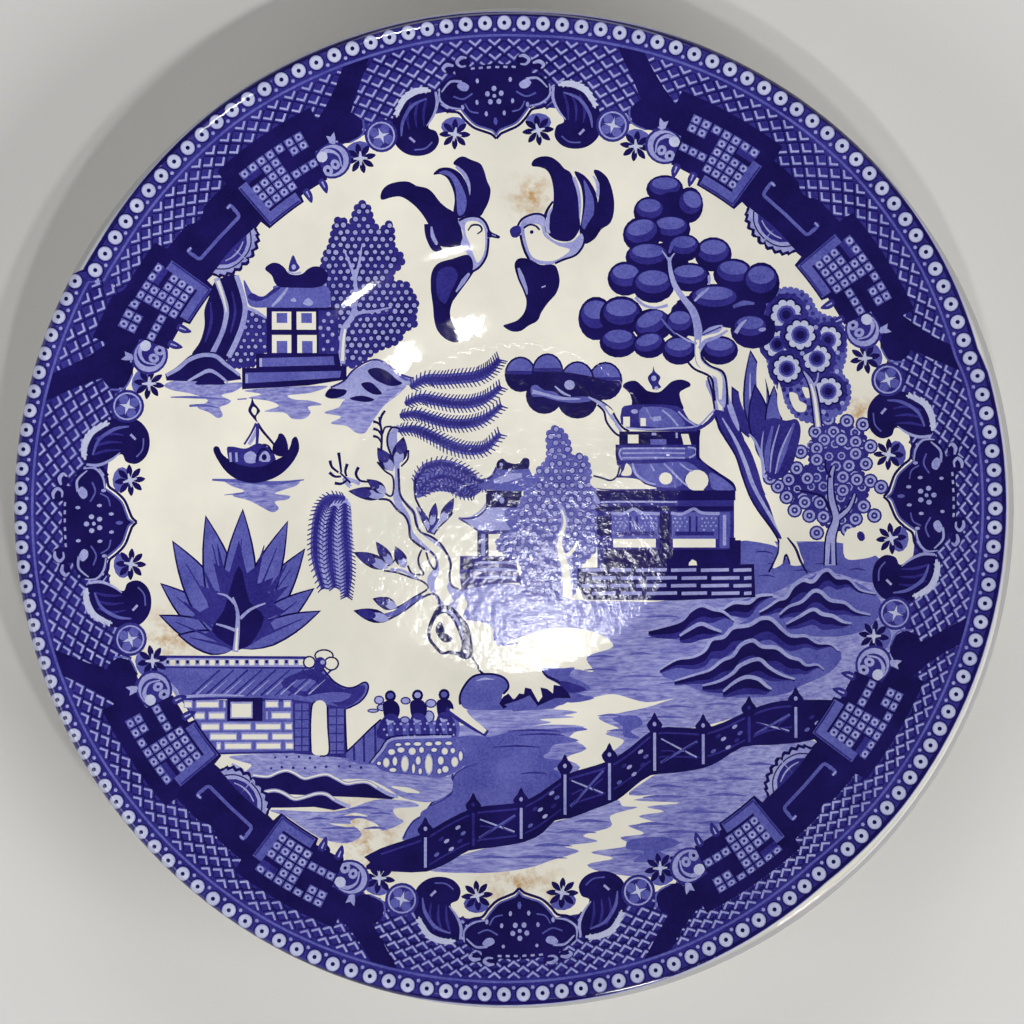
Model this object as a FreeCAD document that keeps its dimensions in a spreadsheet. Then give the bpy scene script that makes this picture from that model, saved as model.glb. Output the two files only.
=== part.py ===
"""A small china plate of saucer form: a pressed clay body and the two skins of glaze fired onto it.

Millimetres, +Z up. The plate stands on the bare edge of its foot ring at z = 0 and is centred on the Z axis.
The body is one revolved profile with rounded corners. The glaze is the layer between that body and the same
shape grown outwards. The foot's resting edge is wiped clean before firing, so the glaze comes in two skins:
one over the face, lip and back, and one inside the foot ring.
"""
import FreeCAD, Part
import Sketcher
import os

# alias, millimetres, what it is
SIZES = [
    ("well_radius", 25.7, "flat floor of the cup well"),
    ("step_run", 5.0, "sloping step round the well, outwards"),
    ("step_rise", 1.2, "sloping step round the well, upwards"),
    ("shoulder_radius", 39.0, "where the wall turns up"),
    ("shoulder_rise", 0.6, "climb from the step to the wall"),
    ("floor_height", 5.9, "floor of the well above the foot's edge"),
    ("lip_radius", 74.16, "inner corner of the lip"),
    ("lip_height", 20.6, "top of the lip"),
    ("lip_flare", 0.95, "outer corner of the lip beyond the inner one"),
    ("lip_thickness", 1.9, "depth of the lip's end"),
    ("foot_radius", 44.0, "outside of the foot's edge"),
    ("foot_width", 3.2, "width of the foot's edge"),
    ("foot_flare", 1.1, "draft of the foot's outside"),
    ("foot_draft", 0.8, "draft of the foot's inside"),
    ("foot_height", 5.9, "where the foot's outside meets the wall"),
    ("recess_height", 2.6, "underside of the floor above the foot's edge"),
    ("well_round", 6.0, "rounding at the foot of the step"),
    ("step_round", 6.0, "rounding at the head of the step"),
    ("wall_round", 30.0, "rounding where the wall turns up"),
    ("lip_round", 0.85, "rounding of the lip"),
    ("foot_round", 0.7, "rounding of the foot's edge"),
    ("foot_fillet", 1.5, "rounding where the foot meets wall and floor"),
    ("glaze_thickness", 0.2, "depth of the glaze"),
    ("wiped_height", 0.8, "bare clay above the foot's edge"),
]

# The half profile, corner by corner from the middle of the face round to the middle of the base.
# Each coordinate is a sum of sheet cells, and a minus sign takes a cell away.
STEP_TOP = ("floor_height", "step_rise")
FOOT_INSIDE = ("foot_radius", "-foot_width")
PROFILE = {
    "floor_centre": ((), ("floor_height",)),
    "step_foot": (("well_radius",), ("floor_height",)),
    "step_head": (("well_radius", "step_run"), STEP_TOP),
    "wall_foot": (("shoulder_radius",), STEP_TOP + ("shoulder_rise",)),
    "lip_inner": (("lip_radius",), ("lip_height",)),
    "lip_outer": (("lip_radius", "lip_flare"), ("lip_height", "-lip_thickness")),
    "foot_root": (("foot_radius", "foot_flare"), ("foot_height",)),
    "foot_outer": (("foot_radius",), ()),
    "foot_inner": (FOOT_INSIDE, ()),
    "recess_corner": (FOOT_INSIDE + ("-foot_draft",), ("recess_height",)),
    "recess_centre": ((), ("recess_height",)),
}

# The rounding of each corner that has one.
ROUNDINGS = {
    "step_foot": "well_round",
    "step_head": "step_round",
    "wall_foot": "wall_round",
    "lip_inner": "lip_round",
    "lip_outer": "lip_round",
    "foot_root": "foot_fillet",
    "foot_outer": "foot_round",
    "foot_inner": "foot_round",
    "recess_corner": "foot_fillet",
}

AXIS_X, AXIS_Y = -1, -2  # a sketch's own horizontal and vertical axes
START, END = 1, 2  # the two ends of a sketch line


def make_sheet(doc):
    """The spreadsheet of driving dimensions, one row each: name, number, note."""
    sheet = doc.addObject("Spreadsheet::Sheet", "Sizes")
    for row, (alias, value, note) in enumerate(SIZES, start=1):
        sheet.set(f"A{row}", alias)
        sheet.set(f"B{row}", str(value))
        sheet.set(f"C{row}", note)
        sheet.setAlias(f"B{row}", alias)
    doc.recompute()
    return sheet


def signed(cell):
    """The sign and the alias of one term of a coordinate."""
    return (-1, cell[1:]) if cell.startswith("-") else (1, cell)


def total(sheet, cells):
    """The value of a coordinate."""
    return sum(sign * sheet.get(alias) for sign, alias in map(signed, cells))


def formula(cells):
    """The expression that binds a size to a coordinate's cells."""
    terms = [f"{'-' if sign < 0 else '+'} Sizes.{alias}" for sign, alias in map(signed, cells)]
    return " ".join(terms).lstrip("+ ")


def origin_part(body, role):
    """One of a body's own origin planes or axes."""
    return next(o for o in body.Origin.OriginFeatures if o.Role == role)


def draw_profile(body, sheet):
    """The closed half profile on the XZ plane: straight runs, rounded corners, all bound to the sheet."""
    sketch = body.newObject("Sketcher::SketchObject", "HalfProfile")
    sketch.AttachmentSupport = [(origin_part(body, "XZ_Plane"), "")]
    sketch.MapMode = "FlatFace"
    places = [FreeCAD.Vector(total(sheet, x), total(sheet, z), 0) for x, z in PROFILE.values()]
    count = len(places)
    for i in range(count):
        sketch.addGeometry(Part.LineSegment(places[i], places[(i + 1) % count]), False)
    for i in range(count):
        ends = Sketcher.Constraint("Coincident", i, END, (i + 1) % count, START)
        sketch.addConstraint(ends)
    for line, (corner, (x_cells, z_cells)) in enumerate(PROFILE.items()):
        held = (line, START)
        if corner in ROUNDINGS:
            held = round_corner(sketch, sheet, line, ROUNDINGS[corner], corner)
        bind_corner(sketch, held, corner + "_x", "DistanceX", x_cells, places[line].x, AXIS_Y)
        bind_corner(sketch, held, corner + "_z", "DistanceY", z_cells, places[line].y, AXIS_X)
    return sketch


def round_corner(sketch, sheet, line, cell, corner):
    """Rounds the corner where a line starts, and returns the construction point left at the corner."""
    arc = len(sketch.Geometry)
    radius = total(sheet, [cell])
    sketch.fillet(line, START, radius, True, True)
    index = sketch.addConstraint(Sketcher.Constraint("Radius", arc, radius))
    bind(sketch, index, corner + "_round", [cell])
    return arc + 1, START


def bind_corner(sketch, held, name, kind, cells, value, axis):
    """Holds one coordinate of a corner: on the axis if it has no cells, else at its cells' sum."""
    if not cells:
        sketch.addConstraint(Sketcher.Constraint("PointOnObject", *held, axis))
        return
    index = sketch.addConstraint(Sketcher.Constraint(kind, AXIS_X, START, *held, value))
    bind(sketch, index, name, cells)


def bind(sketch, index, name, cells):
    """Names a constraint and ties it to the sheet."""
    sketch.renameConstraint(index, name)
    sketch.setExpression(f"Constraints.{name}", formula(cells))


def make_body(doc, sheet):
    """The clay body: the half profile turned about the axis."""
    body = doc.addObject("PartDesign::Body", "china_body")
    body.Label = "china_body"
    sketch = draw_profile(body, sheet)
    doc.recompute()
    if not sketch.FullyConstrained:
        raise SystemExit("the half profile isn't fully constrained")
    turned = body.newObject("PartDesign::Revolution", "Turned")
    turned.Profile = sketch
    turned.ReferenceAxis = (sketch, ["V_Axis"])
    turned.Angle = 360.0
    doc.recompute()
    body.Tip = turned
    return body


def make_glaze(doc, sheet, body):
    """The glaze: the grown body less the body, cleared round the foot's edge, then its two skins apart."""
    grown = doc.addObject("Part::Offset", "GrownBody")
    grown.Source = body
    grown.Value = total(sheet, ["glaze_thickness"])
    grown.setExpression("Value", formula(["glaze_thickness"]))
    layer = doc.addObject("Part::Cut", "GlazeLayer")
    layer.Base, layer.Tool = grown, body
    wiped = doc.addObject("Part::Cylinder", "WipedEdge")
    wiped.setExpression("Radius", "Sizes.lip_radius + 2 * Sizes.lip_flare")
    wiped.setExpression("Height", "2 * Sizes.wiped_height")
    wiped.setExpression("Placement.Base.z", "-Sizes.wiped_height")
    coat = doc.addObject("Part::Cut", "GlazeCoat")
    coat.Base, coat.Tool = layer, wiped
    inside = doc.addObject("Part::Cylinder", "InsideFoot")
    inside.setExpression("Radius", formula(FOOT_INSIDE + ("foot_round",)))
    inside.setExpression("Height", formula(["recess_height", "glaze_thickness"]))
    base_glaze = doc.addObject("Part::Common", "base_glaze")
    base_glaze.Base, base_glaze.Tool = coat, inside
    outer_glaze = doc.addObject("Part::Cut", "outer_glaze")
    outer_glaze.Base, outer_glaze.Tool = coat, inside
    for skin in (base_glaze, outer_glaze):
        skin.Label = skin.Name
    doc.recompute()
    return [outer_glaze, base_glaze]


def check_model(doc, pieces):
    """Stops if any object failed, or if a piece isn't one valid closed solid."""
    failed = [o.Name for o in doc.Objects if {"Invalid", "Error"} & set(o.State)]
    if failed:
        raise SystemExit(f"failed objects: {failed}")
    for piece in pieces:
        shape = piece.Shape
        if shape.isNull() or not shape.isValid() or len(shape.Solids) != 1:
            raise SystemExit(f"{piece.Label} isn't one valid solid: {len(shape.Solids)} solids")
        box = shape.optimalBoundingBox()
        print(
            f"{piece.Label}: {shape.Volume:.0f} mm3, radius {box.XMax:.2f}, "
            f"z {box.ZMin:.2f} to {box.ZMax:.2f}"
        )


def main():
    doc = FreeCAD.newDocument("ChinaPlate")
    sheet = make_sheet(doc)
    body = make_body(doc, sheet)
    pieces = [body] + make_glaze(doc, sheet, body)
    check_model(doc, pieces)
    os.makedirs("parts", exist_ok=True)
    for piece in pieces:
        piece.Shape.exportStep(f"parts/{piece.Label}.step")


main()
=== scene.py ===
"""Looks of a printed china plate of saucer form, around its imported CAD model.

The print is drawn as flat shapes in millimetres, seen from above with +Y away. The shapes are laid
over each other, cut into triangles, wrapped onto the glaze and made into one thin piece per ink.
"""

import math
import random

import bpy
import numpy as np
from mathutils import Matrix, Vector
from mathutils.geometry import delaunay_2d_cdt


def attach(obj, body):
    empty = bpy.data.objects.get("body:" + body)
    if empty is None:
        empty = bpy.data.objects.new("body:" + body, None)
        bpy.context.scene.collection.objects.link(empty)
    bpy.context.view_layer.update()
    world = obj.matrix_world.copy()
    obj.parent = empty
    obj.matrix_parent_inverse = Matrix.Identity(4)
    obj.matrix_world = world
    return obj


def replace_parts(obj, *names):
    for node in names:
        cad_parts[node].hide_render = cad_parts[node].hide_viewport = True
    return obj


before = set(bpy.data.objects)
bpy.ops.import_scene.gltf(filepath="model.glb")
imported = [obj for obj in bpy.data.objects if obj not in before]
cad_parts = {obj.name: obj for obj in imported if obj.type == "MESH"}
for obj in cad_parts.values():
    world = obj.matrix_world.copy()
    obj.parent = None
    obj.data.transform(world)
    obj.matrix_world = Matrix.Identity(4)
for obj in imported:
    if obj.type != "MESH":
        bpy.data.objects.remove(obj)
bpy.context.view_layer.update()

MM = 0.001
PRINT_EDGE = 74.9  # where the print ends on the lip
TURNS = 360  # divisions of a full circle
BODY = "root"

# ---------------------------------------------------------------- drawing
# Inks, each a piece of its own. PAPER is the unprinted ground.
NAVY, COBALT, BLUE, SKY, MIST, WATER, PAPER = "navy", "cobalt", "blue", "sky", "mist", "water", "paper"

shapes = []


def ink(tone, outline):
    """Lays one closed shape over all the earlier ones."""
    shapes.append((tone, outline))


def smooth(points, closed=True, steps=4):
    """A Catmull-Rom curve through a few points."""
    count = len(points)
    curve = []
    spans = count if closed else count - 1
    for i in range(spans):
        if closed:
            p0, p1, p2, p3 = (points[(i + k) % count] for k in (-1, 0, 1, 2))
        else:
            p0, p1, p2, p3 = (points[min(max(i + k, 0), count - 1)] for k in (-1, 0, 1, 2))
        for j in range(steps):
            t = j / steps
            curve.append(tuple(
                0.5 * (2 * b + (c - a) * t + (2 * a - 5 * b + 4 * c - d) * t * t
                       + (3 * b - a - 3 * c + d) * t ** 3)
                for a, b, c, d in zip(p0, p1, p2, p3)))
    if not closed:
        curve.append(tuple(points[-1]))
    return curve


def lump(tone, points, steps=4):
    """A smooth closed shape through a few points."""
    ink(tone, smooth(points, True, steps))


def stroke(tone, points, width, steps=4):
    """A brush line along a smooth curve. A width that is a list is spread evenly along it."""
    line = smooth(points, False, steps) if len(points) > 2 else list(points)
    widths = list(width) if isinstance(width, (list, tuple)) else [width, width]
    left, right = [], []
    last = len(line) - 1
    for i, (x, y) in enumerate(line):
        ax, ay = line[max(i - 1, 0)]
        bx, by = line[min(i + 1, last)]
        length = math.hypot(bx - ax, by - ay) or 1.0
        across = i / last * (len(widths) - 1)
        k = min(int(across), len(widths) - 2)
        half = (widths[k] + (widths[k + 1] - widths[k]) * (across - k)) / 2
        nx, ny = -(by - ay) / length * half, (bx - ax) / length * half
        left.append((x + nx, y + ny))
        right.append((x - nx, y - ny))
    ink(tone, left + right[::-1])


def oval(x, y, rx, ry=None, turn=0.0, count=14):
    """Points of an ellipse turned by so many degrees."""
    ry = rx if ry is None else ry
    c, s = math.cos(math.radians(turn)), math.sin(math.radians(turn))
    ring = []
    for k in range(count):
        a = 2 * math.pi * k / count
        u, v = rx * math.cos(a), ry * math.sin(a)
        ring.append((x + u * c - v * s, y + u * s + v * c))
    return ring


def disc(tone, x, y, rx, ry=None, turn=0.0, count=14):
    ink(tone, oval(x, y, rx, ry, turn, count))


def leaf(tone, x0, y0, x1, y1, width, bend=0.0):
    """A leaf from base to tip, widest a third of the way, bowed sideways by bend."""
    dx, dy = x1 - x0, y1 - y0
    length = math.hypot(dx, dy)
    nx, ny = -dy / length, dx / length
    left, right = [], []
    for t, w in ((0.0, 0.0), (0.15, 0.62), (0.38, 1.0), (0.65, 0.8), (0.85, 0.4), (1.0, 0.0)):
        bow = bend * 4 * t * (1 - t)
        x, y = x0 + dx * t + nx * bow, y0 + dy * t + ny * bow
        left.append((x + nx * width * w / 2, y + ny * width * w / 2))
        right.append((x - nx * width * w / 2, y - ny * width * w / 2))
    ink(tone, smooth(left, False, 2) + smooth(right, False, 2)[::-1])


def box(tone, x0, y0, x1, y1):
    ink(tone, [(x0, y0), (x1, y0), (x1, y1), (x0, y1)])


def dashes(tone, places, rise, width, middle=0.5):
    """Short level strokes, pointed at both ends, from each x, y over a length."""
    for x, y, length in places:
        stroke(tone, [(x, y), (x + length * middle, y + rise), (x + length, y)], [0.1, width, 0.1])


def inside(x, y, outline):
    """True if the point lies within the closed outline."""
    odd = False
    for (ax, ay), (bx, by) in zip(outline, outline[1:] + outline[:1]):
        if (ay > y) != (by > y) and x < (bx - ax) * (y - ay) / (by - ay) + ax:
            odd = not odd
    return odd


def bumpy(tone, outline, bump):
    """A shape whose edge is a row of round lumps."""
    ink(tone, outline)
    spare = 0.0
    for (ax, ay), (bx, by) in zip(outline, outline[1:] + outline[:1]):
        length = math.hypot(bx - ax, by - ay)
        at = spare
        while at < length:
            disc(tone, ax + (bx - ax) * at / length, ay + (by - ay) * at / length, bump, count=9)
            at += bump * 1.7
        spare = at - length


def dots(tone, outline, pitch, radius, seed):
    """Staggered dots that fill an outline."""
    draw = random.Random(seed)
    xs = [p[0] for p in outline]
    ys = [p[1] for p in outline]
    row = 0
    y = min(ys)
    while y < max(ys):
        x = min(xs) + (row % 2) * pitch / 2
        while x < max(xs):
            px = x + draw.uniform(-0.1, 0.1) * pitch
            py = y + draw.uniform(-0.1, 0.1) * pitch
            if inside(px, py, outline):
                disc(tone, px, py, radius * draw.uniform(0.8, 1.1), count=7)
            x += pitch
        y += pitch * 0.86
        row += 1


# ---------------------------------------------------------------- border
BEAD_COUNT = 158
BEAD_RADIUS = 1.1
BEAD_EYE = 0.34
SKY_HEM = 0.66  # how far the two rings outside the beads reach past them
NAVY_HEM = 0.52
BED_INSET = 0.1  # how far the beads reach past their bed
JOIN_AZIMUTH = 151.5
MEAN_ORBIT = 73.0  # radius that the border is drawn for
LINE_DROP = 1.85  # from the beads' middles down to the fine line
LINE_HALF = 0.18
RADIAN = 57.3  # in degrees
TRELLIS_TOP = 70.15
TRELLIS_ROW = 1.12
TRELLIS_ROWS = 9
TRELLIS_COUNT = 152  # marks in one row
GROUND_INNER = 60.4
FOLLOW_FROM = 64  # the border follows the bead ring from here,
FOLLOW_SPAN = 6  # fully once this much farther out
SCENE_SHIFT = 1.8  # how far the scene's own offset pushes the border out,
SCENE_AZIMUTH = 235  # and where it does so most
SHIELDS = (1.8, 92.7, 182.1, 270.8)
# The bead ring wanders as the transfer was laid by hand, and steps where its ends meet: azimuth, radius.
BEAD_ORBIT = (
    (0, 72.2), (16, 72.3), (19, 71.9), (30, 72.7), (45, 73.3), (65, 73.35), (88, 72.75), (100, 73.0),
    (126, 73.15), (147, 72.2), (151.4, 72.2), (151.6, 74.1), (180, 74.05), (205, 74.25), (240, 73.8),
    (265, 73.0), (290, 72.4), (310, 71.4), (322, 71.8), (360, 72.2))


def polar(azimuth, radius):
    """A plan point at so many degrees and millimetres from the middle."""
    a = math.radians(azimuth)
    return radius * math.cos(a), radius * math.sin(a)


def bead_orbit(azimuth):
    """The radius of the beads' middles there."""
    return float(np.interp(azimuth % 360, *zip(*BEAD_ORBIT)))


def drift(azimuth, radius):
    """A border radius moved with the bead ring, and near the inner edge with the scene's own offset."""
    outer = min(1.0, max(0.0, (radius - FOLLOW_FROM) / FOLLOW_SPAN))
    inner = SCENE_SHIFT * max(0.0, math.cos(math.radians(azimuth - SCENE_AZIMUTH)))
    return radius + outer * (bead_orbit(azimuth) - MEAN_ORBIT) + (1 - outer) * inner


def orbit_ring(offset):
    """A closed line that keeps its distance from the bead ring, and stays on the printed face."""
    azimuths = [360 * k / TURNS for k in range(TURNS)]
    return [polar(azimuth, min(bead_orbit(azimuth) + offset, PRINT_EDGE)) for azimuth in azimuths]


def border_ground():
    """The plain rings under the border, from the lip inward."""
    ink(PAPER, [polar(360 * k / TURNS, PRINT_EDGE) for k in range(TURNS)])
    ink(SKY, orbit_ring(BEAD_RADIUS + SKY_HEM))
    ink(NAVY, orbit_ring(BEAD_RADIUS + NAVY_HEM))
    ink(COBALT, orbit_ring(BEAD_RADIUS - BED_INSET))
    ink(BLUE, orbit_ring(LINE_HALF - LINE_DROP))
    ink(COBALT, orbit_ring(-LINE_HALF - LINE_DROP))
    ink(PAPER, [polar(3 * k, drift(3 * k, GROUND_INNER)) for k in range(120)])


def bead_ring():
    """The ring of beads just inside the lip, each with an eye, and a small mark between neighbours."""
    rings = (
        (NAVY, 1.2 * BEAD_RADIUS, 16), (SKY, BEAD_RADIUS, 16), (MIST, 0.86 * BEAD_RADIUS, 16),
        (NAVY, BEAD_EYE, 8))
    for k in range(BEAD_COUNT):
        azimuth = JOIN_AZIMUTH + (k + 0.5) * 360 / BEAD_COUNT
        orbit = bead_orbit(azimuth)
        x, y = polar(azimuth, orbit)
        disc(SKY, *polar(azimuth + 180 / BEAD_COUNT, orbit - 1.0), 0.3, count=5)
        for tone, size, count in rings:
            ring = oval(x, y, size, size * 0.97, azimuth, count)
            hem = [min(1.0, PRINT_EDGE / math.hypot(*point)) for point in ring]
            ink(tone, [(px * pull, py * pull) for (px, py), pull in zip(ring, hem)])


def chevron(tone, azimuth, radius, wide, deep, thick):
    """Two arms of the trellis that meet at their inner end."""
    c, s = math.cos(math.radians(azimuth)), math.sin(math.radians(azimuth))
    outline = []
    for u, v in (
            (-wide, deep / 2), (-wide + thick / 2, deep / 2 + thick / 2), (0, thick / 2 - deep / 2),
            (wide - thick / 2, deep / 2 + thick / 2), (wide, deep / 2), (0, -deep / 2 - thick / 2)):
        outline.append(((radius + v) * c - u * s, (radius + v) * s + u * c))
    ink(tone, outline)


def trellis():
    """Rows of pale marks over a dark lattice."""
    pitch = 360 / TRELLIS_COUNT
    for row in range(TRELLIS_ROWS):
        for k in range(TRELLIS_COUNT):
            azimuth = (k + 0.5 * (row % 2)) * pitch
            radius = drift(azimuth, TRELLIS_TOP - row * TRELLIS_ROW)
            chevron(NAVY, azimuth, radius - 0.42, 1.42, 1.12, 0.26)
            chevron(SKY, azimuth, radius, 0.98, 0.62, 0.42)


class Half:
    """Half of a repeat; at(a, r) places a point a degrees from the shield's middle, r from the centre."""

    def __init__(self, at):
        self.at = at

    def bend(self, points):
        return [self.at(a, r) for a, r in points]

    def spot(self, tone, a, r, wide, tall=None, count=12):
        """An ellipse that reaches wide millimetres along the ring and tall ones across it."""
        tall = wide if tall is None else tall
        scale = RADIAN / r
        turns = [2 * math.pi * k / count for k in range(count)]
        ink(tone, self.bend([(a + wide * scale * math.cos(t), r + tall * math.sin(t)) for t in turns]))

    def line(self, tone, points, width):
        stroke(tone, self.bend(points), width)

    def flat(self, tone, points):
        """A shape with straight sides, bent along the ring."""
        fine = []
        for (a0, r0), (a1, r1) in zip(points, points[1:] + points[:1]):
            parts = max(1, round(abs(a1 - a0) / 1.5))
            fine += [(a0 + (a1 - a0) * k / parts, r0 + (r1 - r0) * k / parts) for k in range(parts)]
        ink(tone, self.bend(fine))

    def curvy(self, tone, points, steps=4):
        lump(tone, self.bend(points), steps)


def draw_shield(half):
    """Half of a scalloped dark shape, with a light edge."""
    edge = [
        (0, 65.9), (2.6, 65.7), (5.6, 65.4), (7.4, 64.0), (7.6, 62.3), (6.5, 61.0), (4.9, 60.5),
        (4.1, 59.2), (3.0, 57.9), (1.4, 57.2), (0.5, 56.8), (0, 56.1)]
    half.flat(NAVY, smooth(edge, False, 4))
    half.line(SKY, edge[3:7], [0.15, 0.32, 0.32, 0.2])
    half.line(BLUE, edge[6:], 0.28)
    half.line(NAVY, [
        (8.0, 63.6), (8.1, 62.0), (6.8, 60.5), (5.3, 60.0), (4.5, 58.8), (3.3, 57.5), (1.6, 56.7),
        (0.7, 56.3), (0, 55.6)], 0.4)
    half.curvy(SKY, [(3.4, 63.8), (4.3, 64.5), (5.0, 64.0), (4.5, 63.2), (3.7, 63.1)])
    half.line(SKY, [(4.3, 64.5), (5.8, 64.7), (7.2, 63.4)], [0.4, 0.35, 0.2])
    for da, dr in ((0, 1.1), (0.95, 0.35), (0.6, -0.85)):
        half.spot(SKY, da, 62.0 + dr, 0.38, 0.42, 7)
    half.spot(SKY, 0, 62.0, 0.3, 0.3, 7)
    for a, r in ((2.2, 64.4), (2.5, 61.2), (1.3, 59.4), (4.6, 60.7)):
        half.spot(SKY, a, r, 0.26, 0.4, 6)
    half.line(BLUE, [(3.0, 62.6), (4.4, 61.9), (5.7, 62.5)], 0.24)
    half.line(BLUE, [(2.4, 59.6), (3.6, 60.0), (4.2, 61.2)], 0.22)
    half.spot(BLUE, 0, 58.2, 0.3, 0.6, 6)
    half.spot(NAVY, 5.8, 66.9, 1.2, 1.0)
    half.spot(NAVY, 3.9, 67.4, 1.2, 1.2)
    half.line(NAVY, [(0, 66.2), (5.0, 66.0)], 1.3)
    half.line(SKY, [(5.1, 67.0), (5.9, 67.3), (6.5, 66.8), (6.2, 66.2)], [0.3, 0.6, 0.5, 0.2])
    half.line(SKY, [
        (3.3, 68.0), (4.0, 68.1), (4.6, 67.5), (4.2, 66.8), (3.5, 66.8)], [0.25, 0.55, 0.5, 0.35, 0.2])
    for a in (0.3, 1.35, 2.4):
        half.line(SKY, [(a, 66.35), (a + 0.5, 66.3)], 0.32)


def draw_curled_leaf(half):
    """A curled leaf with a pale toothed edge."""
    body = [
        (8.0, 63.6), (10.0, 64.3), (12.2, 63.9), (14.2, 62.0), (15.2, 59.7), (15.4, 57.4), (14.2, 55.6),
        (12.2, 54.8), (10.2, 55.0), (8.9, 56.2), (9.0, 57.8), (10.0, 58.6), (9.2, 60.0), (8.2, 61.8)]
    half.curvy(NAVY, body)
    for k in range(3):
        half.line(COBALT, [
            (9.4 + 1.1 * k, 62.9), (10.2 + 1.2 * k, 61.0), (10.6 + 1.1 * k, 58.9)], [0.25, 0.45, 0.15])
    half.line(BLUE, [(9.4, 62.9), (11.6, 62.3), (13.4, 60.4), (14.2, 58.4)], [0.2, 0.5, 0.5, 0.2])
    crest = smooth([(8.6, 63.9), (10.4, 64.2), (12.4, 63.5), (14.1, 61.3)], False, 3)
    half.line(MIST, crest, [0.3, 0.7, 0.85, 0.7, 0.2])
    for (a0, r0), (a1, r1) in zip(crest[1:], crest[2:]):
        half.line(MIST, [(a0, r0), (a1 + 0.3, r1 + 0.55)], [1.0, 0.15])
    half.line(SKY, [(8.0, 63.6), (8.1, 61.8), (9.0, 60.1), (10.2, 58.9)], [0.35, 0.45, 0.35, 0.15])
    half.line(SKY, [(12.5, 57.0), (13.1, 57.9)], 0.36)
    half.line(BLUE, [(9.9, 56.4), (11.2, 55.7), (12.9, 55.9)], 0.22)


def draw_star_flowers(half):
    """Two dark flowers with eight petals each."""
    for a, r in ((6.3, 56.9), (21.1, 57.4)):
        half.spot(BLUE, a, r + 1.3, 1.9, 1.3)
        for turn in range(10, 370, 45):
            da, dr = math.cos(math.radians(turn)), math.sin(math.radians(turn))
            half.curvy(NAVY, [
                (a + 0.3 * da, r + 0.3 * dr),
                (a + 1.4 * da - 0.46 * dr, r + 1.4 * dr + 0.46 * da),
                (a + 2.4 * da, r + 2.3 * dr),
                (a + 1.4 * da + 0.46 * dr, r + 1.4 * dr - 0.46 * da)],
                3)
        for turn in (20, 110, 200, 290):
            da, dr = math.cos(math.radians(turn)), math.sin(math.radians(turn))
            half.line(MIST, [(a, r), (a + 1.05 * da, r + 1.05 * dr)], [0.55, 0.2])


def draw_coin(half):
    """A coin with a star."""
    half.spot(COBALT, 17.0, 59.4, 2.5, 2.5, 20)
    half.spot(SKY, 17.0, 59.4, 2.1, 2.1, 20)
    half.spot(COBALT, 17.0, 59.4, 1.85, 1.85, 20)
    for turn in (45, 135, 225, 315):
        da, dr = math.cos(math.radians(turn)), math.sin(math.radians(turn))
        half.spot(BLUE, 17.0 + 1.15 * da, 59.4 + 1.15 * dr, 0.72, 0.72, 10)
    half.curvy(MIST, [
        (17.0, 60.7), (17.25, 59.65), (18.3, 59.4), (17.25, 59.15), (17.0, 58.1), (16.75, 59.15),
        (15.7, 59.4), (16.75, 59.65)], 2)


def draw_bar(half):
    """The slanting bar that crosses the border, and the dark round at its end."""
    half.flat(NAVY, [
        (15.2, 70.9), (18.6, 70.9), (20.2, 68.8), (22.2, 66.8), (25.0, 64.8), (25.0, 61.0), (22.0, 61.5),
        (19.8, 64.2), (17.4, 67.6)])
    half.spot(NAVY, 21.2, 62.4, 2.5, 2.3, 18)
    half.line(BLUE, [(18.6, 62.6), (19.4, 60.6), (21.6, 60.2)], 0.25)


def draw_spiral(half):
    """A spiral with two eyes."""
    half.spot(COBALT, 25.0, 58.9, 2.9, 2.7, 20)
    half.spot(SKY, 25.0, 58.9, 2.5, 2.35, 20)
    half.spot(COBALT, 25.3, 59.0, 2.0, 2.0, 18)
    half.line(SKY, [(24.2, 57.5), (23.9, 59.2), (24.9, 60.5), (26.3, 60.4)], [0.2, 0.3, 0.6, 0.9])
    half.spot(MIST, 26.1, 60.1, 0.85, 0.8, 10)
    half.spot(SKY, 24.9, 58.2, 0.7, 0.8, 10)
    half.spot(SKY, 26.3, 57.9, 0.75, 0.85, 10)
    half.spot(NAVY, 26.3, 57.9, 0.28, 0.3, 6)
    half.spot(COBALT, 24.9, 58.2, 0.25, 0.3, 6)
    half.curvy(SKY, [(23.5, 61.0), (23.0, 62.6), (23.7, 62.2), (24.5, 62.8), (24.2, 61.4)], 2)


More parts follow.
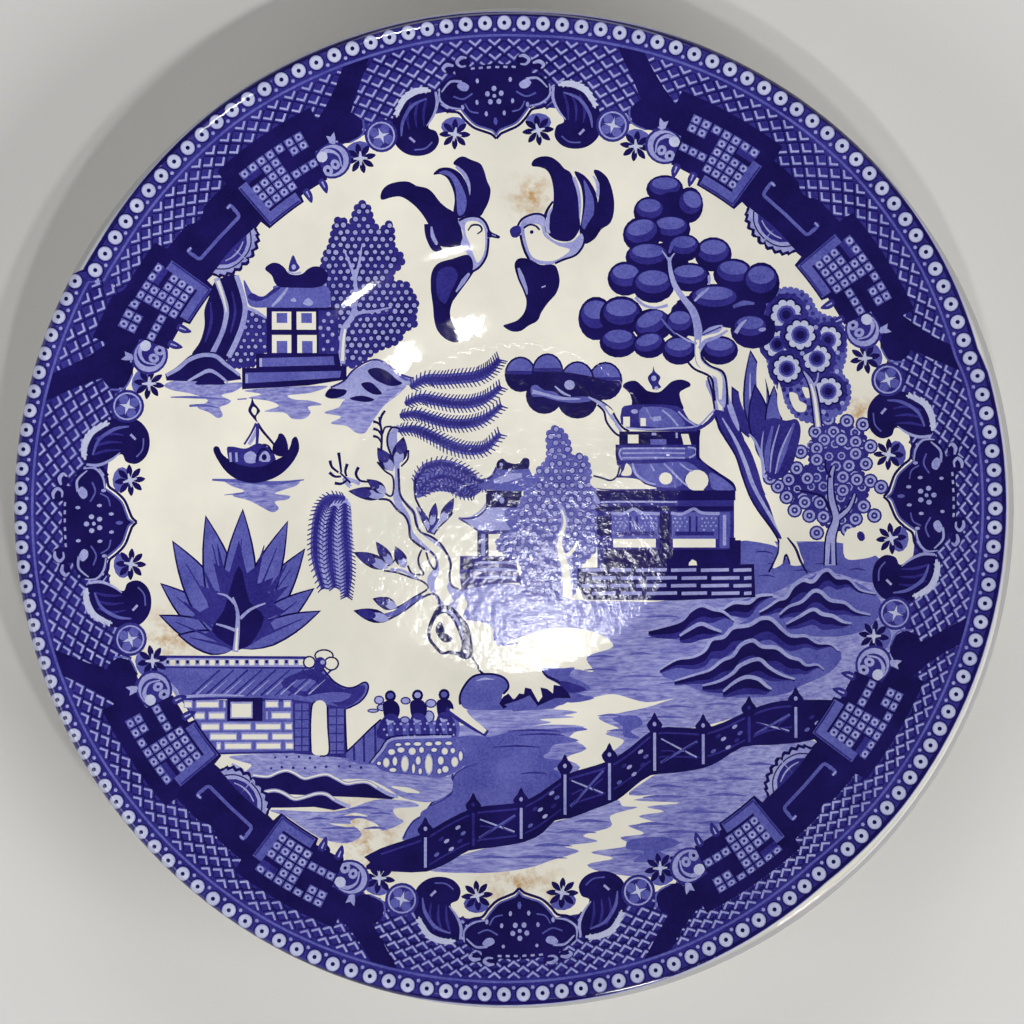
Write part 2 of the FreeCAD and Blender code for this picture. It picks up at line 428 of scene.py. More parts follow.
def draw_key_fret(half):
    """A stepped dark fret set with pale cells."""
    half.flat(NAVY, [
        (24.4, 67.4), (38.9, 67.4), (39.2, 65.1), (43.3, 65.0), (44.2, 64.3), (45.2, 64.0), (45.2, 56.9),
        (42.2, 56.9), (39.0, 57.4), (38.7, 55.8), (31.9, 55.8), (31.7, 56.8), (27.0, 56.8), (26.8, 61.2),
        (24.2, 61.6)])
    half.flat(BLUE, [(32.2, 56.1), (38.3, 56.1), (38.3, 63.4), (36.9, 63.4), (36.9, 57.7), (32.2, 57.7)])
    half.line(COBALT, [(32.4, 56.3), (35.3, 56.3), (38.1, 56.3)], 0.28)
    half.line(COBALT, [(38.1, 56.3), (38.1, 59.5), (38.1, 63.2)], 0.28)
    half.flat(COBALT, [(34.4, 62.9), (36.9, 62.9), (36.9, 64.2), (34.4, 64.2)])
    cells = [(32.1 + 1.43 * i, 58.7 + 1.43 * j) for i in range(4) for j in range(5) if i < 2 or j != 3]
    cells += [(27.7 + 1.42 * i, 59.9) for i in range(3)] + [(30.6, 64.4)]
    cells += [(27.6 + 1.45 * i, r) for i in range(2) for r in (63.0, 64.4)]
    for a, r in cells:
        half.flat(BLUE, [(a - 0.6, r - 0.6), (a + 0.6, r - 0.6), (a + 0.6, r + 0.6), (a - 0.6, r + 0.6)])
        half.spot(SKY, a, r, 0.56, 0.54, 8)
        half.spot(COBALT, a, r, 0.24, 0.24, 6)
    for a in (28.0, 30.8):
        half.curvy(COBALT, [
            (a - 0.5, 57.2), (a - 0.6, 56.0), (a + 0.2, 55.0), (a + 0.5, 56.2), (a + 0.4, 57.2)], 3)
        half.line(SKY, [(a - 0.1, 56.9), (a, 55.9)], [0.3, 0.15])


def draw_tray(half):
    """Half a tray with its bracket, and half a rosette under it."""
    half.line(BLUE, [(40.7, 61.6), (40.8, 60.3), (42.0, 60.1), (45.2, 60.1)], 0.5)
    half.line(BLUE, [(41.3, 62.2), (40.7, 62.3), (40.6, 61.0)], [0.4, 0.55, 0.4])
    half.line(SKY, [(40.6, 62.3), (41.3, 62.3)], 0.25)
    span = [k / 16 for k in range(17)]
    rim = [(45.2 - 5.0 * math.cos(t * math.pi / 2), 57.4 - 2.7 * math.sin(t * math.pi / 2)) for t in span]
    wavy = [(a, r - 0.28 * math.cos(i * math.pi / 1.55)) for i, (a, r) in enumerate(rim)]
    half.flat(NAVY, [(a, r - 0.35) for a, r in wavy] + [(45.2, 57.6), (40.0, 57.6)])
    half.flat(SKY, [(a + 0.25, r + 0.15) for a, r in wavy] + [(45.2, 57.4), (40.4, 57.4)])
    half.flat(COBALT, [(41.9, 57.5), (42.8, 56.5), (44.0, 55.95), (45.2, 55.8), (45.2, 57.6)])
    half.line(SKY, [(43.0, 57.1), (44.1, 56.7), (45.2, 56.6)], [0.15, 0.3])
    half.line(NAVY, [(41.2, 57.4), (42.2, 56.2), (43.6, 55.5), (45.2, 55.3)], 0.2)


def border_half(half):
    draw_shield(half)
    draw_curled_leaf(half)
    draw_star_flowers(half)
    draw_coin(half)
    draw_bar(half)
    draw_spiral(half)
    draw_key_fret(half)
    draw_tray(half)


def border():
    """The trellis, the four repeats, each made of a half and its mirror image, and the beads."""
    trellis()
    for place, shield in enumerate(SHIELDS):
        for side in (-1, 1):
            following = SHIELDS[(place - side) % 4]
            reach = ((following - shield) * -side) % 360 / 90

            def at(a, r, shield=shield, turn=-side * reach):
                azimuth = shield + turn * a
                return polar(azimuth, drift(azimuth, r))

            border_half(Half(at))
    bead_ring()


# ---------------------------------------------------------------- birds
def left_bird():
    lump(NAVY, [
        (-19.9, 46.4), (-19.9, 47.6), (-19.0, 48.6), (-17.4, 49.1), (-15.8, 49.1), (-14.6, 48.5),
        (-13.2, 48.2), (-12.2, 47.5), (-11.2, 46.2), (-10.2, 45.3), (-8.8, 44.4), (-8.2, 43.0),
        (-7.7, 41.0), (-8.0, 39.5), (-11.4, 39.6), (-12.6, 42.2), (-13.6, 44.0), (-15.0, 45.6),
        (-16.8, 46.8), (-18.2, 46.8)])
    stroke(NAVY, [(-13.0, 42.8), (-12.8, 41.0), (-11.9, 39.2), (-11.0, 39.4)], 1.0)
    stroke(SKY, [(-12.4, 42.4), (-12.2, 41.0), (-11.6, 39.8)], [0.25, 0.6, 0.5])
    lump(NAVY, [
        (-12.1, 50.2), (-11.2, 51.1), (-9.6, 51.2), (-8.0, 50.3), (-6.9, 48.4), (-6.6, 46.2), (-7.2, 44.2),
        (-8.6, 43.6), (-9.1, 44.6), (-8.9, 46.4), (-9.2, 48.0), (-10.0, 49.6), (-11.0, 50.2)])
    lump(BLUE, [
        (-11.3, 50.4), (-10.2, 50.8), (-8.8, 50.0), (-7.7, 48.2), (-7.1, 46.2), (-7.5, 44.4), (-8.4, 44.2),
        (-8.6, 46.2), (-8.8, 48.2), (-9.7, 49.9)])
    lump(NAVY, [
        (-9.1, 51.8), (-8.5, 52.6), (-7.6, 52.9), (-6.4, 52.4), (-5.0, 51.8), (-4.4, 50.6), (-4.0, 49.2),
        (-3.5, 48.0), (-3.7, 46.4), (-4.4, 44.9), (-5.2, 43.9), (-7.4, 43.8), (-6.9, 45.6), (-6.6, 47.6),
        (-7.2, 49.6), (-8.2, 51.2)])
    stroke(SKY, [(-8.7, 51.4), (-7.5, 50.3), (-6.8, 48.8), (-6.6, 47.2)], [0.4, 0.6, 0.5, 0.1])
    head = [
        (-8.4, 43.4), (-7.0, 43.8), (-5.5, 43.8), (-4.4, 43.1), (-3.8, 41.9), (-3.7, 40.6), (-3.9, 39.0),
        (-4.3, 37.6), (-5.2, 36.3), (-6.3, 35.7), (-6.4, 37.0), (-7.2, 38.6), (-8.0, 39.6), (-7.6, 41.4)]
    lump(SKY, head)
    lump(PAPER, [
        (-7.2, 43.0), (-5.6, 43.2), (-4.5, 42.3), (-4.3, 40.4), (-4.5, 38.4), (-5.4, 37.0), (-6.0, 38.0),
        (-6.6, 39.8), (-7.2, 41.2)])
    stroke(NAVY, [(-8.3, 43.3), (-7.0, 43.9), (-5.4, 43.9), (-4.3, 43.1), (-3.7, 41.7)], 0.36)
    stroke(NAVY, [(-3.8, 40.7), (-3.9, 39.2), (-4.2, 37.8), (-5.1, 36.4), (-6.3, 35.6)], 0.36)
    lump(NAVY, [(-3.9, 42.0), (-3.2, 41.5), (-2.1, 41.0), (-2.3, 40.6), (-3.3, 40.8), (-4.0, 40.8)], 2)
    stroke(NAVY, [
        (-6.9, 41.8), (-6.3, 42.6), (-5.2, 42.6), (-4.8, 41.9), (-5.5, 41.3)], [0.2, 0.32, 0.3, 0.2])
    stroke(SKY, [(-3.3, 41.2), (-2.7, 41.0)], 0.12)
    lump(NAVY, [
        (-7.0, 38.2), (-6.2, 37.2), (-6.3, 35.6), (-7.6, 33.8), (-8.9, 31.8), (-9.6, 29.6), (-9.2, 27.8),
        (-8.4, 26.6), (-7.5, 26.1), (-7.9, 25.3), (-9.0, 25.0), (-10.4, 25.6), (-11.5, 26.8), (-12.0, 28.4),
        (-12.2, 30.6), (-12.5, 33.0), (-12.4, 35.4), (-11.4, 36.9), (-9.2, 37.6)])
    lump(COBALT, [(-11.4, 35.6), (-9.4, 36.4), (-8.4, 35.0), (-9.4, 32.8), (-10.4, 30.8), (-11.6, 32.4)])
    stroke(NAVY, [(-6.2, 35.6), (-7.0, 34.4), (-8.2, 32.8), (-9.2, 31.4)], 0.3)
    stroke(SKY, [(-6.7, 35.4), (-7.6, 34.2), (-8.7, 32.6)], [0.35, 0.7, 0.2])


def right_bird():
    lump(NAVY, [
        (2.7, 51.5), (3.0, 52.4), (4.2, 52.9), (5.6, 52.8), (6.8, 52.0), (7.6, 51.1), (8.6, 50.4),
        (9.3, 48.4), (9.7, 46.4), (9.9, 44.0), (9.9, 42.0), (8.6, 40.3), (6.4, 40.4), (5.0, 41.6),
        (5.1, 43.6), (5.8, 45.2), (6.0, 47.2), (5.7, 49.4), (5.0, 50.8), (3.9, 51.3)])
    stroke(NAVY, [(5.9, 46.2), (5.0, 44.8), (4.5, 43.0), (4.8, 41.2)], [0.3, 0.5, 0.4])
    stroke(SKY, [(5.8, 45.2), (5.2, 44.0), (5.1, 42.2), (5.4, 41.4)], [0.2, 0.6, 0.3])
    stroke(SKY, [(9.0, 49.8), (9.7, 47.8), (9.95, 45.6), (9.9, 43.6)], [0.5, 0.5, 0.4, 0.1])
    lump(NAVY, [
        (9.1, 50.6), (10.4, 50.2), (11.6, 48.9), (12.5, 47.0), (12.6, 44.6), (11.8, 42.2), (10.6, 40.6),
        (9.9, 41.6), (10.2, 43.6), (10.4, 46.0), (10.1, 48.4)])
    lump(BLUE, [
        (10.5, 49.4), (11.3, 48.2), (12.0, 46.4), (12.0, 44.2), (11.0, 42.0), (10.2, 42.6), (10.6, 44.6),
        (10.8, 46.8)])
    lump(NAVY, [
        (12.0, 50.7), (12.8, 50.8), (14.0, 49.8), (14.7, 48.2), (15.1, 46.2), (15.0, 44.2), (14.4, 42.8),
        (13.2, 42.0), (12.2, 40.6), (10.8, 39.8), (10.2, 40.6), (11.0, 42.6), (12.2, 44.6), (12.8, 46.8),
        (12.8, 48.8)])
    stroke(SKY, [(11.9, 50.0), (12.6, 48.8), (12.6, 46.8)], [0.2, 0.5, 0.4])
    lump(SKY, [
        (0.9, 42.2), (1.5, 43.6), (3.0, 44.2), (4.6, 43.8), (4.8, 41.6), (6.6, 40.1), (8.8, 40.2),
        (10.2, 41.4), (10.5, 39.8), (9.4, 38.4), (7.4, 37.6), (6.0, 36.8), (4.0, 36.8), (2.3, 37.5),
        (1.7, 39.0), (1.3, 40.8)])
    lump(PAPER, [
        (1.6, 42.0), (2.6, 42.8), (4.0, 42.6), (4.6, 41.0), (6.6, 39.6), (8.4, 39.0), (7.6, 38.1),
        (6.0, 37.3), (4.2, 37.3), (2.8, 37.9), (2.1, 39.4)])
    stroke(NAVY, [(0.5, 42.3), (1.2, 43.5), (2.6, 44.2), (3.9, 44.3), (4.9, 43.8)], 0.34)
    stroke(NAVY, [(1.0, 41.2), (1.3, 39.8), (1.8, 38.4), (2.3, 37.5)], 0.4)
    stroke(NAVY, [(6.2, 36.9), (7.6, 37.5), (9.4, 38.2), (10.5, 39.7), (10.7, 41.2)], 0.34)
    stroke(NAVY, [(1.5, 42.2), (2.4, 42.7), (3.3, 42.5), (3.9, 41.9)], 0.3)
    disc(NAVY, 2.7, 41.6, 0.3, count=8)
    lump(COBALT, [(0.9, 42.5), (0.1, 42.5), (-0.6, 41.9), (-0.3, 40.9), (0.5, 40.8), (1.1, 41.5)])
    lump(NAVY, [
        (0.1, 36.6), (0.7, 37.6), (2.2, 37.6), (4.0, 36.7), (6.0, 36.7), (6.7, 35.6), (6.9, 34.0),
        (6.4, 32.4), (5.2, 31.0), (4.2, 29.6), (3.6, 28.3), (2.2, 27.5), (1.0, 26.7), (-0.4, 26.7),
        (-1.6, 27.5), (-0.6, 27.9), (0.6, 28.4), (1.6, 29.6), (1.9, 31.2), (1.4, 32.8), (0.6, 34.6)])
    stroke(SKY, [(0.7, 36.2), (1.2, 34.8), (1.8, 33.2), (2.0, 32.2)], [0.3, 0.7, 0.5, 0.1])
    stroke(SKY, [(4.2, 33.3), (4.8, 33.5)], 0.2)


# ---------------------------------------------------------------- upper left bank
def berry_tree(outline, seed, pitch=1.16, radius=0.37, bump=0.62, ground=COBALT, ring=NAVY):
    """A tree crown packed with pale berries, each in a dark ring."""
    crown = smooth(outline, True, 3)
    bumpy(ground, crown, bump)
    dots(ring, crown, pitch, radius + 0.17, seed)
    dots(SKY, crown, pitch, radius, seed)


def left_trees():
    """The berry tree beside the pagoda and the bush at the far left."""
    crown = [
        (-29.2, 28.0), (-29.6, 32.0), (-28.8, 35.2), (-28.4, 37.8), (-27.6, 39.2), (-27.0, 41.6),
        (-26.4, 43.4), (-25.4, 43.0), (-24.6, 41.8), (-24.0, 43.8), (-23.1, 45.8), (-21.9, 45.0),
        (-21.5, 43.2), (-20.6, 42.0), (-20.0, 41.4), (-18.9, 42.8), (-18.4, 41.6), (-18.3, 39.2),
        (-16.9, 37.8), (-17.2, 36.6), (-18.4, 35.6), (-18.4, 33.8), (-16.4, 33.8), (-15.6, 32.4),
        (-14.8, 31.0), (-15.2, 29.0), (-15.0, 27.8), (-16.8, 26.8), (-17.6, 25.2), (-20.4, 24.2),
        (-22.4, 22.8), (-24.4, 21.6), (-26.8, 22.4), (-28.6, 23.6)]
    berry_tree(crown, 11)
    stroke(SKY, [
        (-25.9, 21.8), (-25.8, 24.8), (-25.6, 27.0), (-24.4, 28.8), (-23.8, 31.5), (-23.9, 34.6)],
        [1.0, 0.9, 0.9, 0.7, 0.5])
    stroke(SKY, [(-23.9, 34.4), (-24.6, 36.6), (-25.6, 39.0)], [0.5, 0.4, 0.15])
    stroke(SKY, [(-23.9, 34.6), (-23.3, 36.8), (-22.9, 39.4)], [0.5, 0.4, 0.15])
    stroke(SKY, [(-24.8, 28.4), (-23.4, 29.4), (-21.0, 29.7), (-18.4, 30.3)], [0.6, 0.5, 0.4, 0.2])
    stroke(COBALT, [(-24.6, 27.6), (-23.2, 28.8), (-20.8, 29.1), (-18.2, 29.8)], 0.3)
    stroke(PAPER, [(-25.8, 22.2), (-25.7, 24.8), (-25.4, 27.0)], [0.5, 0.4, 0.3])
    bush = [
        (-42.8, 21.6), (-41.6, 24.6), (-40.6, 27.6), (-40.2, 29.6), (-38.6, 28.8), (-37.4, 28.2),
        (-37.2, 24.0), (-38.6, 23.2), (-39.0, 21.6)]
    berry_tree(bush, 12, 1.15, 0.3, 0.4)
    stroke(SKY, [(-40.3, 30.2), (-38.8, 29.6), (-37.2, 28.6)], [0.5, 0.5, 0.3])


def left_pagoda():
    lump(BLUE, [
        (-40.6, 34.4), (-40.2, 31.8), (-39.4, 30.3), (-36.0, 30.2), (-30.0, 30.0), (-27.8, 30.4),
        (-27.6, 31.6), (-28.6, 33.6), (-35.6, 33.6), (-36.2, 32.6), (-37.6, 31.9), (-39.2, 32.2)])
    lump(COBALT, [
        (-40.0, 31.6), (-38.0, 31.2), (-35.0, 33.2), (-36.2, 33.0), (-37.8, 31.8), (-39.4, 32.4)], 3)
    stroke(SKY, [(-36.4, 30.4), (-35.2, 31.6), (-34.0, 33.2)], [0.3, 0.5, 0.3])
    lump(SKY, [(-31.8, 30.8), (-31.0, 31.7), (-30.2, 31.0), (-30.6, 30.5)], 2)
    lump(SKY, [(-33.6, 31.2), (-33.1, 31.7), (-32.7, 31.1)], 2)
    lump(NAVY, [
        (-37.4, 36.0), (-36.6, 36.8), (-35.6, 36.9), (-34.6, 36.3), (-33.9, 35.4), (-33.0, 35.1),
        (-31.8, 35.3), (-31.0, 36.0), (-30.0, 36.4), (-28.8, 36.2), (-28.0, 35.2), (-28.4, 33.8),
        (-30.0, 33.2), (-33.0, 33.2), (-35.2, 33.3), (-36.0, 34.0), (-36.4, 35.0)])
    stroke(SKY, [(-34.0, 35.6), (-33.1, 35.3), (-32.0, 35.5)], 0.28)
    lump(COBALT, [
        (-33.8, 35.7), (-33.8, 36.6), (-33.2, 38.1), (-32.6, 36.9), (-32.2, 36.2), (-32.9, 35.6)], 3)
    disc(SKY, -33.1, 36.3, 0.34, 0.4, count=8)
    box(NAVY, -37.2, 21.0, -26.6, 30.2)
    for x0, y0 in ((-36.4, 26.9), (-32.7, 26.9), (-36.4, 23.4), (-32.6, 23.4)):
        box(PAPER, x0, y0, x0 + 2.9, y0 + 2.7)
        box(BLUE, x0 + 0.7, y0 + (1.0 if y0 > 25 else 0.0), x0 + 2.3, y0 + (2.5 if y0 > 25 else 1.8))
    box(COBALT, -29.4, 22.8, -26.4, 29.8)
    dots(SKY, [(-29.2, 23.0), (-27.0, 23.0), (-27.0, 29.6), (-29.2, 29.6)], 1.2, 0.3, 13)
    ink(NAVY, [(-38.8, 23.3), (-26.4, 23.3), (-26.0, 21.2), (-38.8, 20.6)])
    ink(BLUE, [(-38.3, 22.6), (-27.2, 22.9), (-27.0, 21.6), (-38.3, 21.3)])
    box(SKY, -38.3, 21.3, -37.9, 22.6)
    ink(NAVY, [(-40.9, 21.1), (-25.2, 21.5), (-25.2, 19.4), (-31.0, 18.5), (-40.9, 17.9)])
    ink(BLUE, [(-40.4, 20.4), (-26.0, 20.7), (-26.2, 19.7), (-40.4, 18.8)])
    box(SKY, -40.4, 18.9, -40.0, 20.2)


def left_cliff():
    """The leaning cliff and the ridge at its foot."""
    lump(NAVY, [
        (-45.1, 33.8), (-44.0, 34.6), (-41.6, 35.0), (-40.6, 32.4), (-40.2, 30.0), (-40.8, 27.0),
        (-42.4, 23.8), (-43.4, 22.2), (-45.6, 23.0), (-47.6, 22.8), (-48.4, 23.2), (-47.2, 25.0),
        (-46.5, 27.4), (-46.5, 29.8), (-45.8, 31.8)])
    stroke(SKY, [
        (-44.7, 34.6), (-43.9, 32.4), (-43.2, 29.8), (-43.6, 27.2), (-44.4, 25.2), (-45.4, 23.2)],
        [0.9, 0.8, 0.7, 0.7, 0.8])
    stroke(PAPER, [(-44.5, 34.2), (-43.7, 31.8), (-43.2, 29.6)], [0.5, 0.3, 0.2])
    stroke(SKY, [
        (-41.7, 35.0), (-40.9, 32.6), (-40.4, 30.2), (-40.8, 27.6), (-41.8, 25.0), (-42.9, 22.8)],
        [0.7, 0.7, 0.8, 0.8])
    stroke(COBALT, [(-45.6, 31.0), (-45.5, 28.0), (-46.4, 25.0)], [0.2, 0.5, 0.2])
    stroke(COBALT, [(-42.4, 32.6), (-41.9, 29.6), (-42.6, 26.4)], [0.2, 0.4, 0.2])
    lump(WATER, [
        (-52.5, 18.6), (-50.0, 19.3), (-45.0, 18.8), (-40.6, 18.9), (-42.0, 17.6), (-44.0, 17.0),
        (-42.6, 16.2), (-43.2, 15.6), (-44.2, 15.2), (-43.8, 14.0), (-44.6, 13.6), (-45.8, 14.4),
        (-47.6, 15.2), (-46.0, 16.2), (-48.4, 17.2), (-51.5, 17.8)])
    stroke(BLUE, [(-51.6, 16.7), (-48.0, 16.7), (-43.0, 16.4)], [0.15, 0.4, 0.1])
    stroke(BLUE, [(-48.8, 15.4), (-46.6, 15.5), (-44.4, 15.1)], [0.35, 0.4, 0.1])
    ridge = [
        (-52.4, 20.2), (-51.0, 21.0), (-49.8, 22.0), (-48.6, 23.0), (-46.8, 23.5), (-44.6, 23.4),
        (-43.2, 22.2), (-42.4, 21.2), (-41.4, 20.4), (-41.0, 19.4)]
    ink(NAVY, smooth(ridge, False, 3) + [(-44.0, 19.0), (-52.2, 19.2)])
    stroke(SKY, [
        (-52.2, 20.0), (-50.4, 21.0), (-49.0, 22.2), (-47.0, 23.0), (-44.9, 22.9), (-43.4, 21.7),
        (-42.2, 20.8), (-41.2, 20.0)], [0.5, 0.6, 0.6, 0.4])
    stroke(SKY, [(-49.0, 19.1), (-47.6, 19.9), (-45.9, 20.7), (-44.6, 20.2), (-43.0, 18.9)], [0.3, 0.6, 0.3])
    lump(NAVY, [(-48.0, 18.7), (-46.0, 19.9), (-44.8, 19.8), (-43.4, 18.7), (-45.6, 18.6)], 3)


def left_shore():
    """The water under the left bank and the rock that juts into it."""
    lump(WATER, [
        (-40.6, 17.7), (-36.0, 18.2), (-31.0, 18.4), (-28.0, 18.4), (-30.6, 17.4), (-34.0, 17.0),
        (-33.0, 16.4), (-30.6, 16.2), (-28.9, 15.6), (-31.0, 15.3), (-30.6, 14.4), (-31.6, 13.5),
        (-33.4, 13.5), (-34.6, 14.4), (-37.6, 14.6), (-35.4, 15.4), (-37.0, 16.2), (-40.0, 16.6),
        (-38.0, 17.2)])
    stroke(BLUE, [(-41.6, 16.4), (-40.2, 16.5)], 0.2)
    lump(WATER, [
        (-25.4, 16.4), (-22.0, 17.6), (-18.8, 18.4), (-16.2, 18.6), (-17.6, 17.0), (-19.6, 15.4),
        (-21.2, 13.2), (-22.4, 11.4), (-23.8, 11.4), (-25.2, 12.4), (-27.6, 12.8), (-26.0, 13.8),
        (-28.6, 14.4), (-26.4, 15.2)])
    rock = [
        (-28.4, 16.8), (-27.6, 18.2), (-25.6, 19.2), (-24.4, 20.4), (-22.6, 21.6), (-20.6, 22.3),
        (-19.0, 21.6), (-17.2, 20.2), (-15.2, 19.4), (-15.6, 18.6), (-18.4, 18.4), (-20.2, 17.0),
        (-21.2, 16.2), (-25.0, 16.4)]
    lump(SKY, rock)
    stroke(COBALT, [
        (-27.6, 18.2), (-25.6, 19.2), (-24.4, 20.6), (-22.6, 21.9), (-20.6, 22.4), (-18.8, 21.5),
        (-17.0, 20.2), (-15.2, 19.6)], 0.3)
    lump(NAVY, [(-28.4, 16.9), (-27.8, 18.0), (-26.6, 18.0), (-25.2, 17.8), (-25.6, 17.0), (-27.2, 16.5)], 3)
    lump(NAVY, [
        (-22.0, 20.8), (-20.6, 21.2), (-19.0, 20.6), (-17.6, 19.4), (-16.8, 18.8), (-18.4, 18.4),
        (-20.2, 19.0), (-21.4, 19.8)], 3)
    lump(NAVY, [(-23.0, 18.8), (-21.6, 19.0), (-20.4, 18.0), (-19.9, 17.2), (-21.2, 17.2), (-22.4, 17.9)], 3)
    lump(NAVY, [(-24.8, 16.5), (-23.0, 17.0), (-21.0, 16.4), (-22.4, 16.0)], 3)
    stroke(BLUE, [(-17.2, 20.0), (-16.2, 19.4), (-15.4, 19.4)], 0.4)


def boat():
    lump(WATER, [
        (-43.8, 4.4), (-41.0, 4.0), (-36.0, 3.9), (-32.4, 4.2), (-32.8, 3.4), (-34.6, 2.8), (-36.0, 2.2),
        (-33.8, 1.9), (-34.2, 1.3), (-36.0, 1.0), (-35.4, 0.0), (-36.4, -0.6), (-38.2, 0.3), (-40.0, 1.2),
        (-42.4, 1.9), (-40.6, 2.6), (-42.6, 3.4)])
    stroke(BLUE, [(-45.4, 4.3), (-41.0, 4.1), (-36.0, 3.8), (-31.6, 4.3)], [0.3, 0.6, 0.6, 0.15])
    stroke(BLUE, [(-43.6, 2.0), (-40.6, 2.3)], [0.1, 0.3])
    lump(COBALT, [
        (-43.2, 8.9), (-42.4, 9.3), (-40.4, 9.0), (-38.6, 9.8), (-37.2, 9.3), (-36.2, 8.4), (-36.2, 6.0),
        (-42.0, 6.2)])
    hull = [
        (-45.2, 8.6), (-45.0, 9.3), (-44.4, 9.2), (-43.9, 8.2), (-42.8, 7.3), (-41.4, 6.6), (-39.4, 6.2),
        (-37.6, 6.4), (-36.0, 7.2), (-34.6, 8.0), (-33.7, 9.3), (-33.4, 10.4), (-32.8, 10.8), (-32.4, 9.9),
        (-32.4, 8.6), (-33.4, 6.8), (-35.0, 5.2), (-37.0, 4.2), (-39.2, 3.8), (-41.4, 4.2), (-43.2, 5.4),
        (-44.4, 7.0)]
    lump(NAVY, hull, 3)
    for x in (-42.7, -41.8):
        stroke(SKY, [(x, 8.4), (x + 0.1, 7.0)], 0.35)
    lump(SKY, [(-40.6, 8.0), (-39.6, 8.6), (-38.8, 8.0), (-38.9, 6.9), (-40.3, 6.9)], 3)
    stroke(NAVY, [(-38.8, 7.0), (-38.4, 8.4), (-37.6, 9.0), (-36.8, 8.0)], 0.35)
    lump(SKY, [(-38.4, 7.2), (-37.9, 8.4), (-37.2, 8.6), (-36.7, 7.8), (-36.9, 7.0)], 2)
    disc(NAVY, -37.6, 7.7, 0.4, 0.5, count=8)
    stroke(NAVY, [(-37.8, 9.6), (-37.0, 9.4), (-36.4, 8.4)], 0.3)
    lump(NAVY, [
        (-36.2, 8.2), (-36.3, 9.4), (-35.6, 10.6), (-35.4, 11.2), (-34.8, 11.2), (-34.2, 10.2),
        (-34.0, 8.6), (-34.8, 7.8)], 3)
    stroke(NAVY, [(-38.6, 12.8), (-37.8, 11.6), (-36.6, 10.2), (-35.8, 9.2)], [0.45, 0.4, 0.35, 0.3])
    stroke(COBALT, [(-38.8, 12.8), (-39.6, 11.2), (-40.6, 9.6)], [0.4, 0.3, 0.3])
    stroke(SKY, [(-38.7, 12.2), (-39.2, 10.8), (-39.9, 9.6)], [0.2, 0.6, 0.5])
    stroke(COBALT, [(-38.6, 12.8), (-38.6, 11.2), (-38.7, 9.6)], [0.5, 0.5, 0.4])
    lump(NAVY, [
        (-38.6, 12.9), (-39.6, 14.0), (-40.0, 14.8), (-39.6, 15.8), (-39.4, 16.7), (-39.1, 15.9),
        (-38.6, 15.3), (-38.2, 14.6), (-38.8, 13.8)], 3)
    lump(PAPER, [(-39.0, 14.0), (-39.5, 14.7), (-39.2, 15.3), (-38.7, 14.8)], 3)


# ---------------------------------------------------------------- willow
def frond(points, width, teeth):
    """A willow frond: a blue rib with a comb of short slanting leaves on both sides."""
    lean = 0.5
    spine = smooth(points, False, 6)
    stroke(BLUE, points, [width * 0.3, width * 0.62, width * 0.62, width * 0.62, width * 0.3])
    stroke(COBALT, points, [width * 0.14, width * 0.3, width * 0.3, width * 0.3, width * 0.14])
    last = len(spine) - 1
    for i in range(teeth):
        t = (i + 0.5) / teeth * last
        k = min(int(t), last - 1)
        (ax, ay), (bx, by) = spine[k], spine[k + 1]
        x, y = ax + (bx - ax) * (t - k), ay + (by - ay) * (t - k)
        length = math.hypot(bx - ax, by - ay)
        ux, uy = (bx - ax) / length, (by - ay) / length
        reach = width * (0.32 + 0.24 * math.sin(math.pi * (0.1 + 0.8 * i / teeth)))
        for side in (-1, 1):
            nx, ny = -uy * side, ux * side
            tip = (x + (nx + ux * lean) * reach, y + (ny + uy * lean) * reach)
            ink(COBALT, [
                (x - ux * 0.2, y - uy * 0.2), (x + ux * 0.14, y + uy * 0.14),
                (tip[0] + ux * 0.16, tip[1] + uy * 0.16), (tip[0] - ux * 0.04, tip[1] - uy * 0.04)])


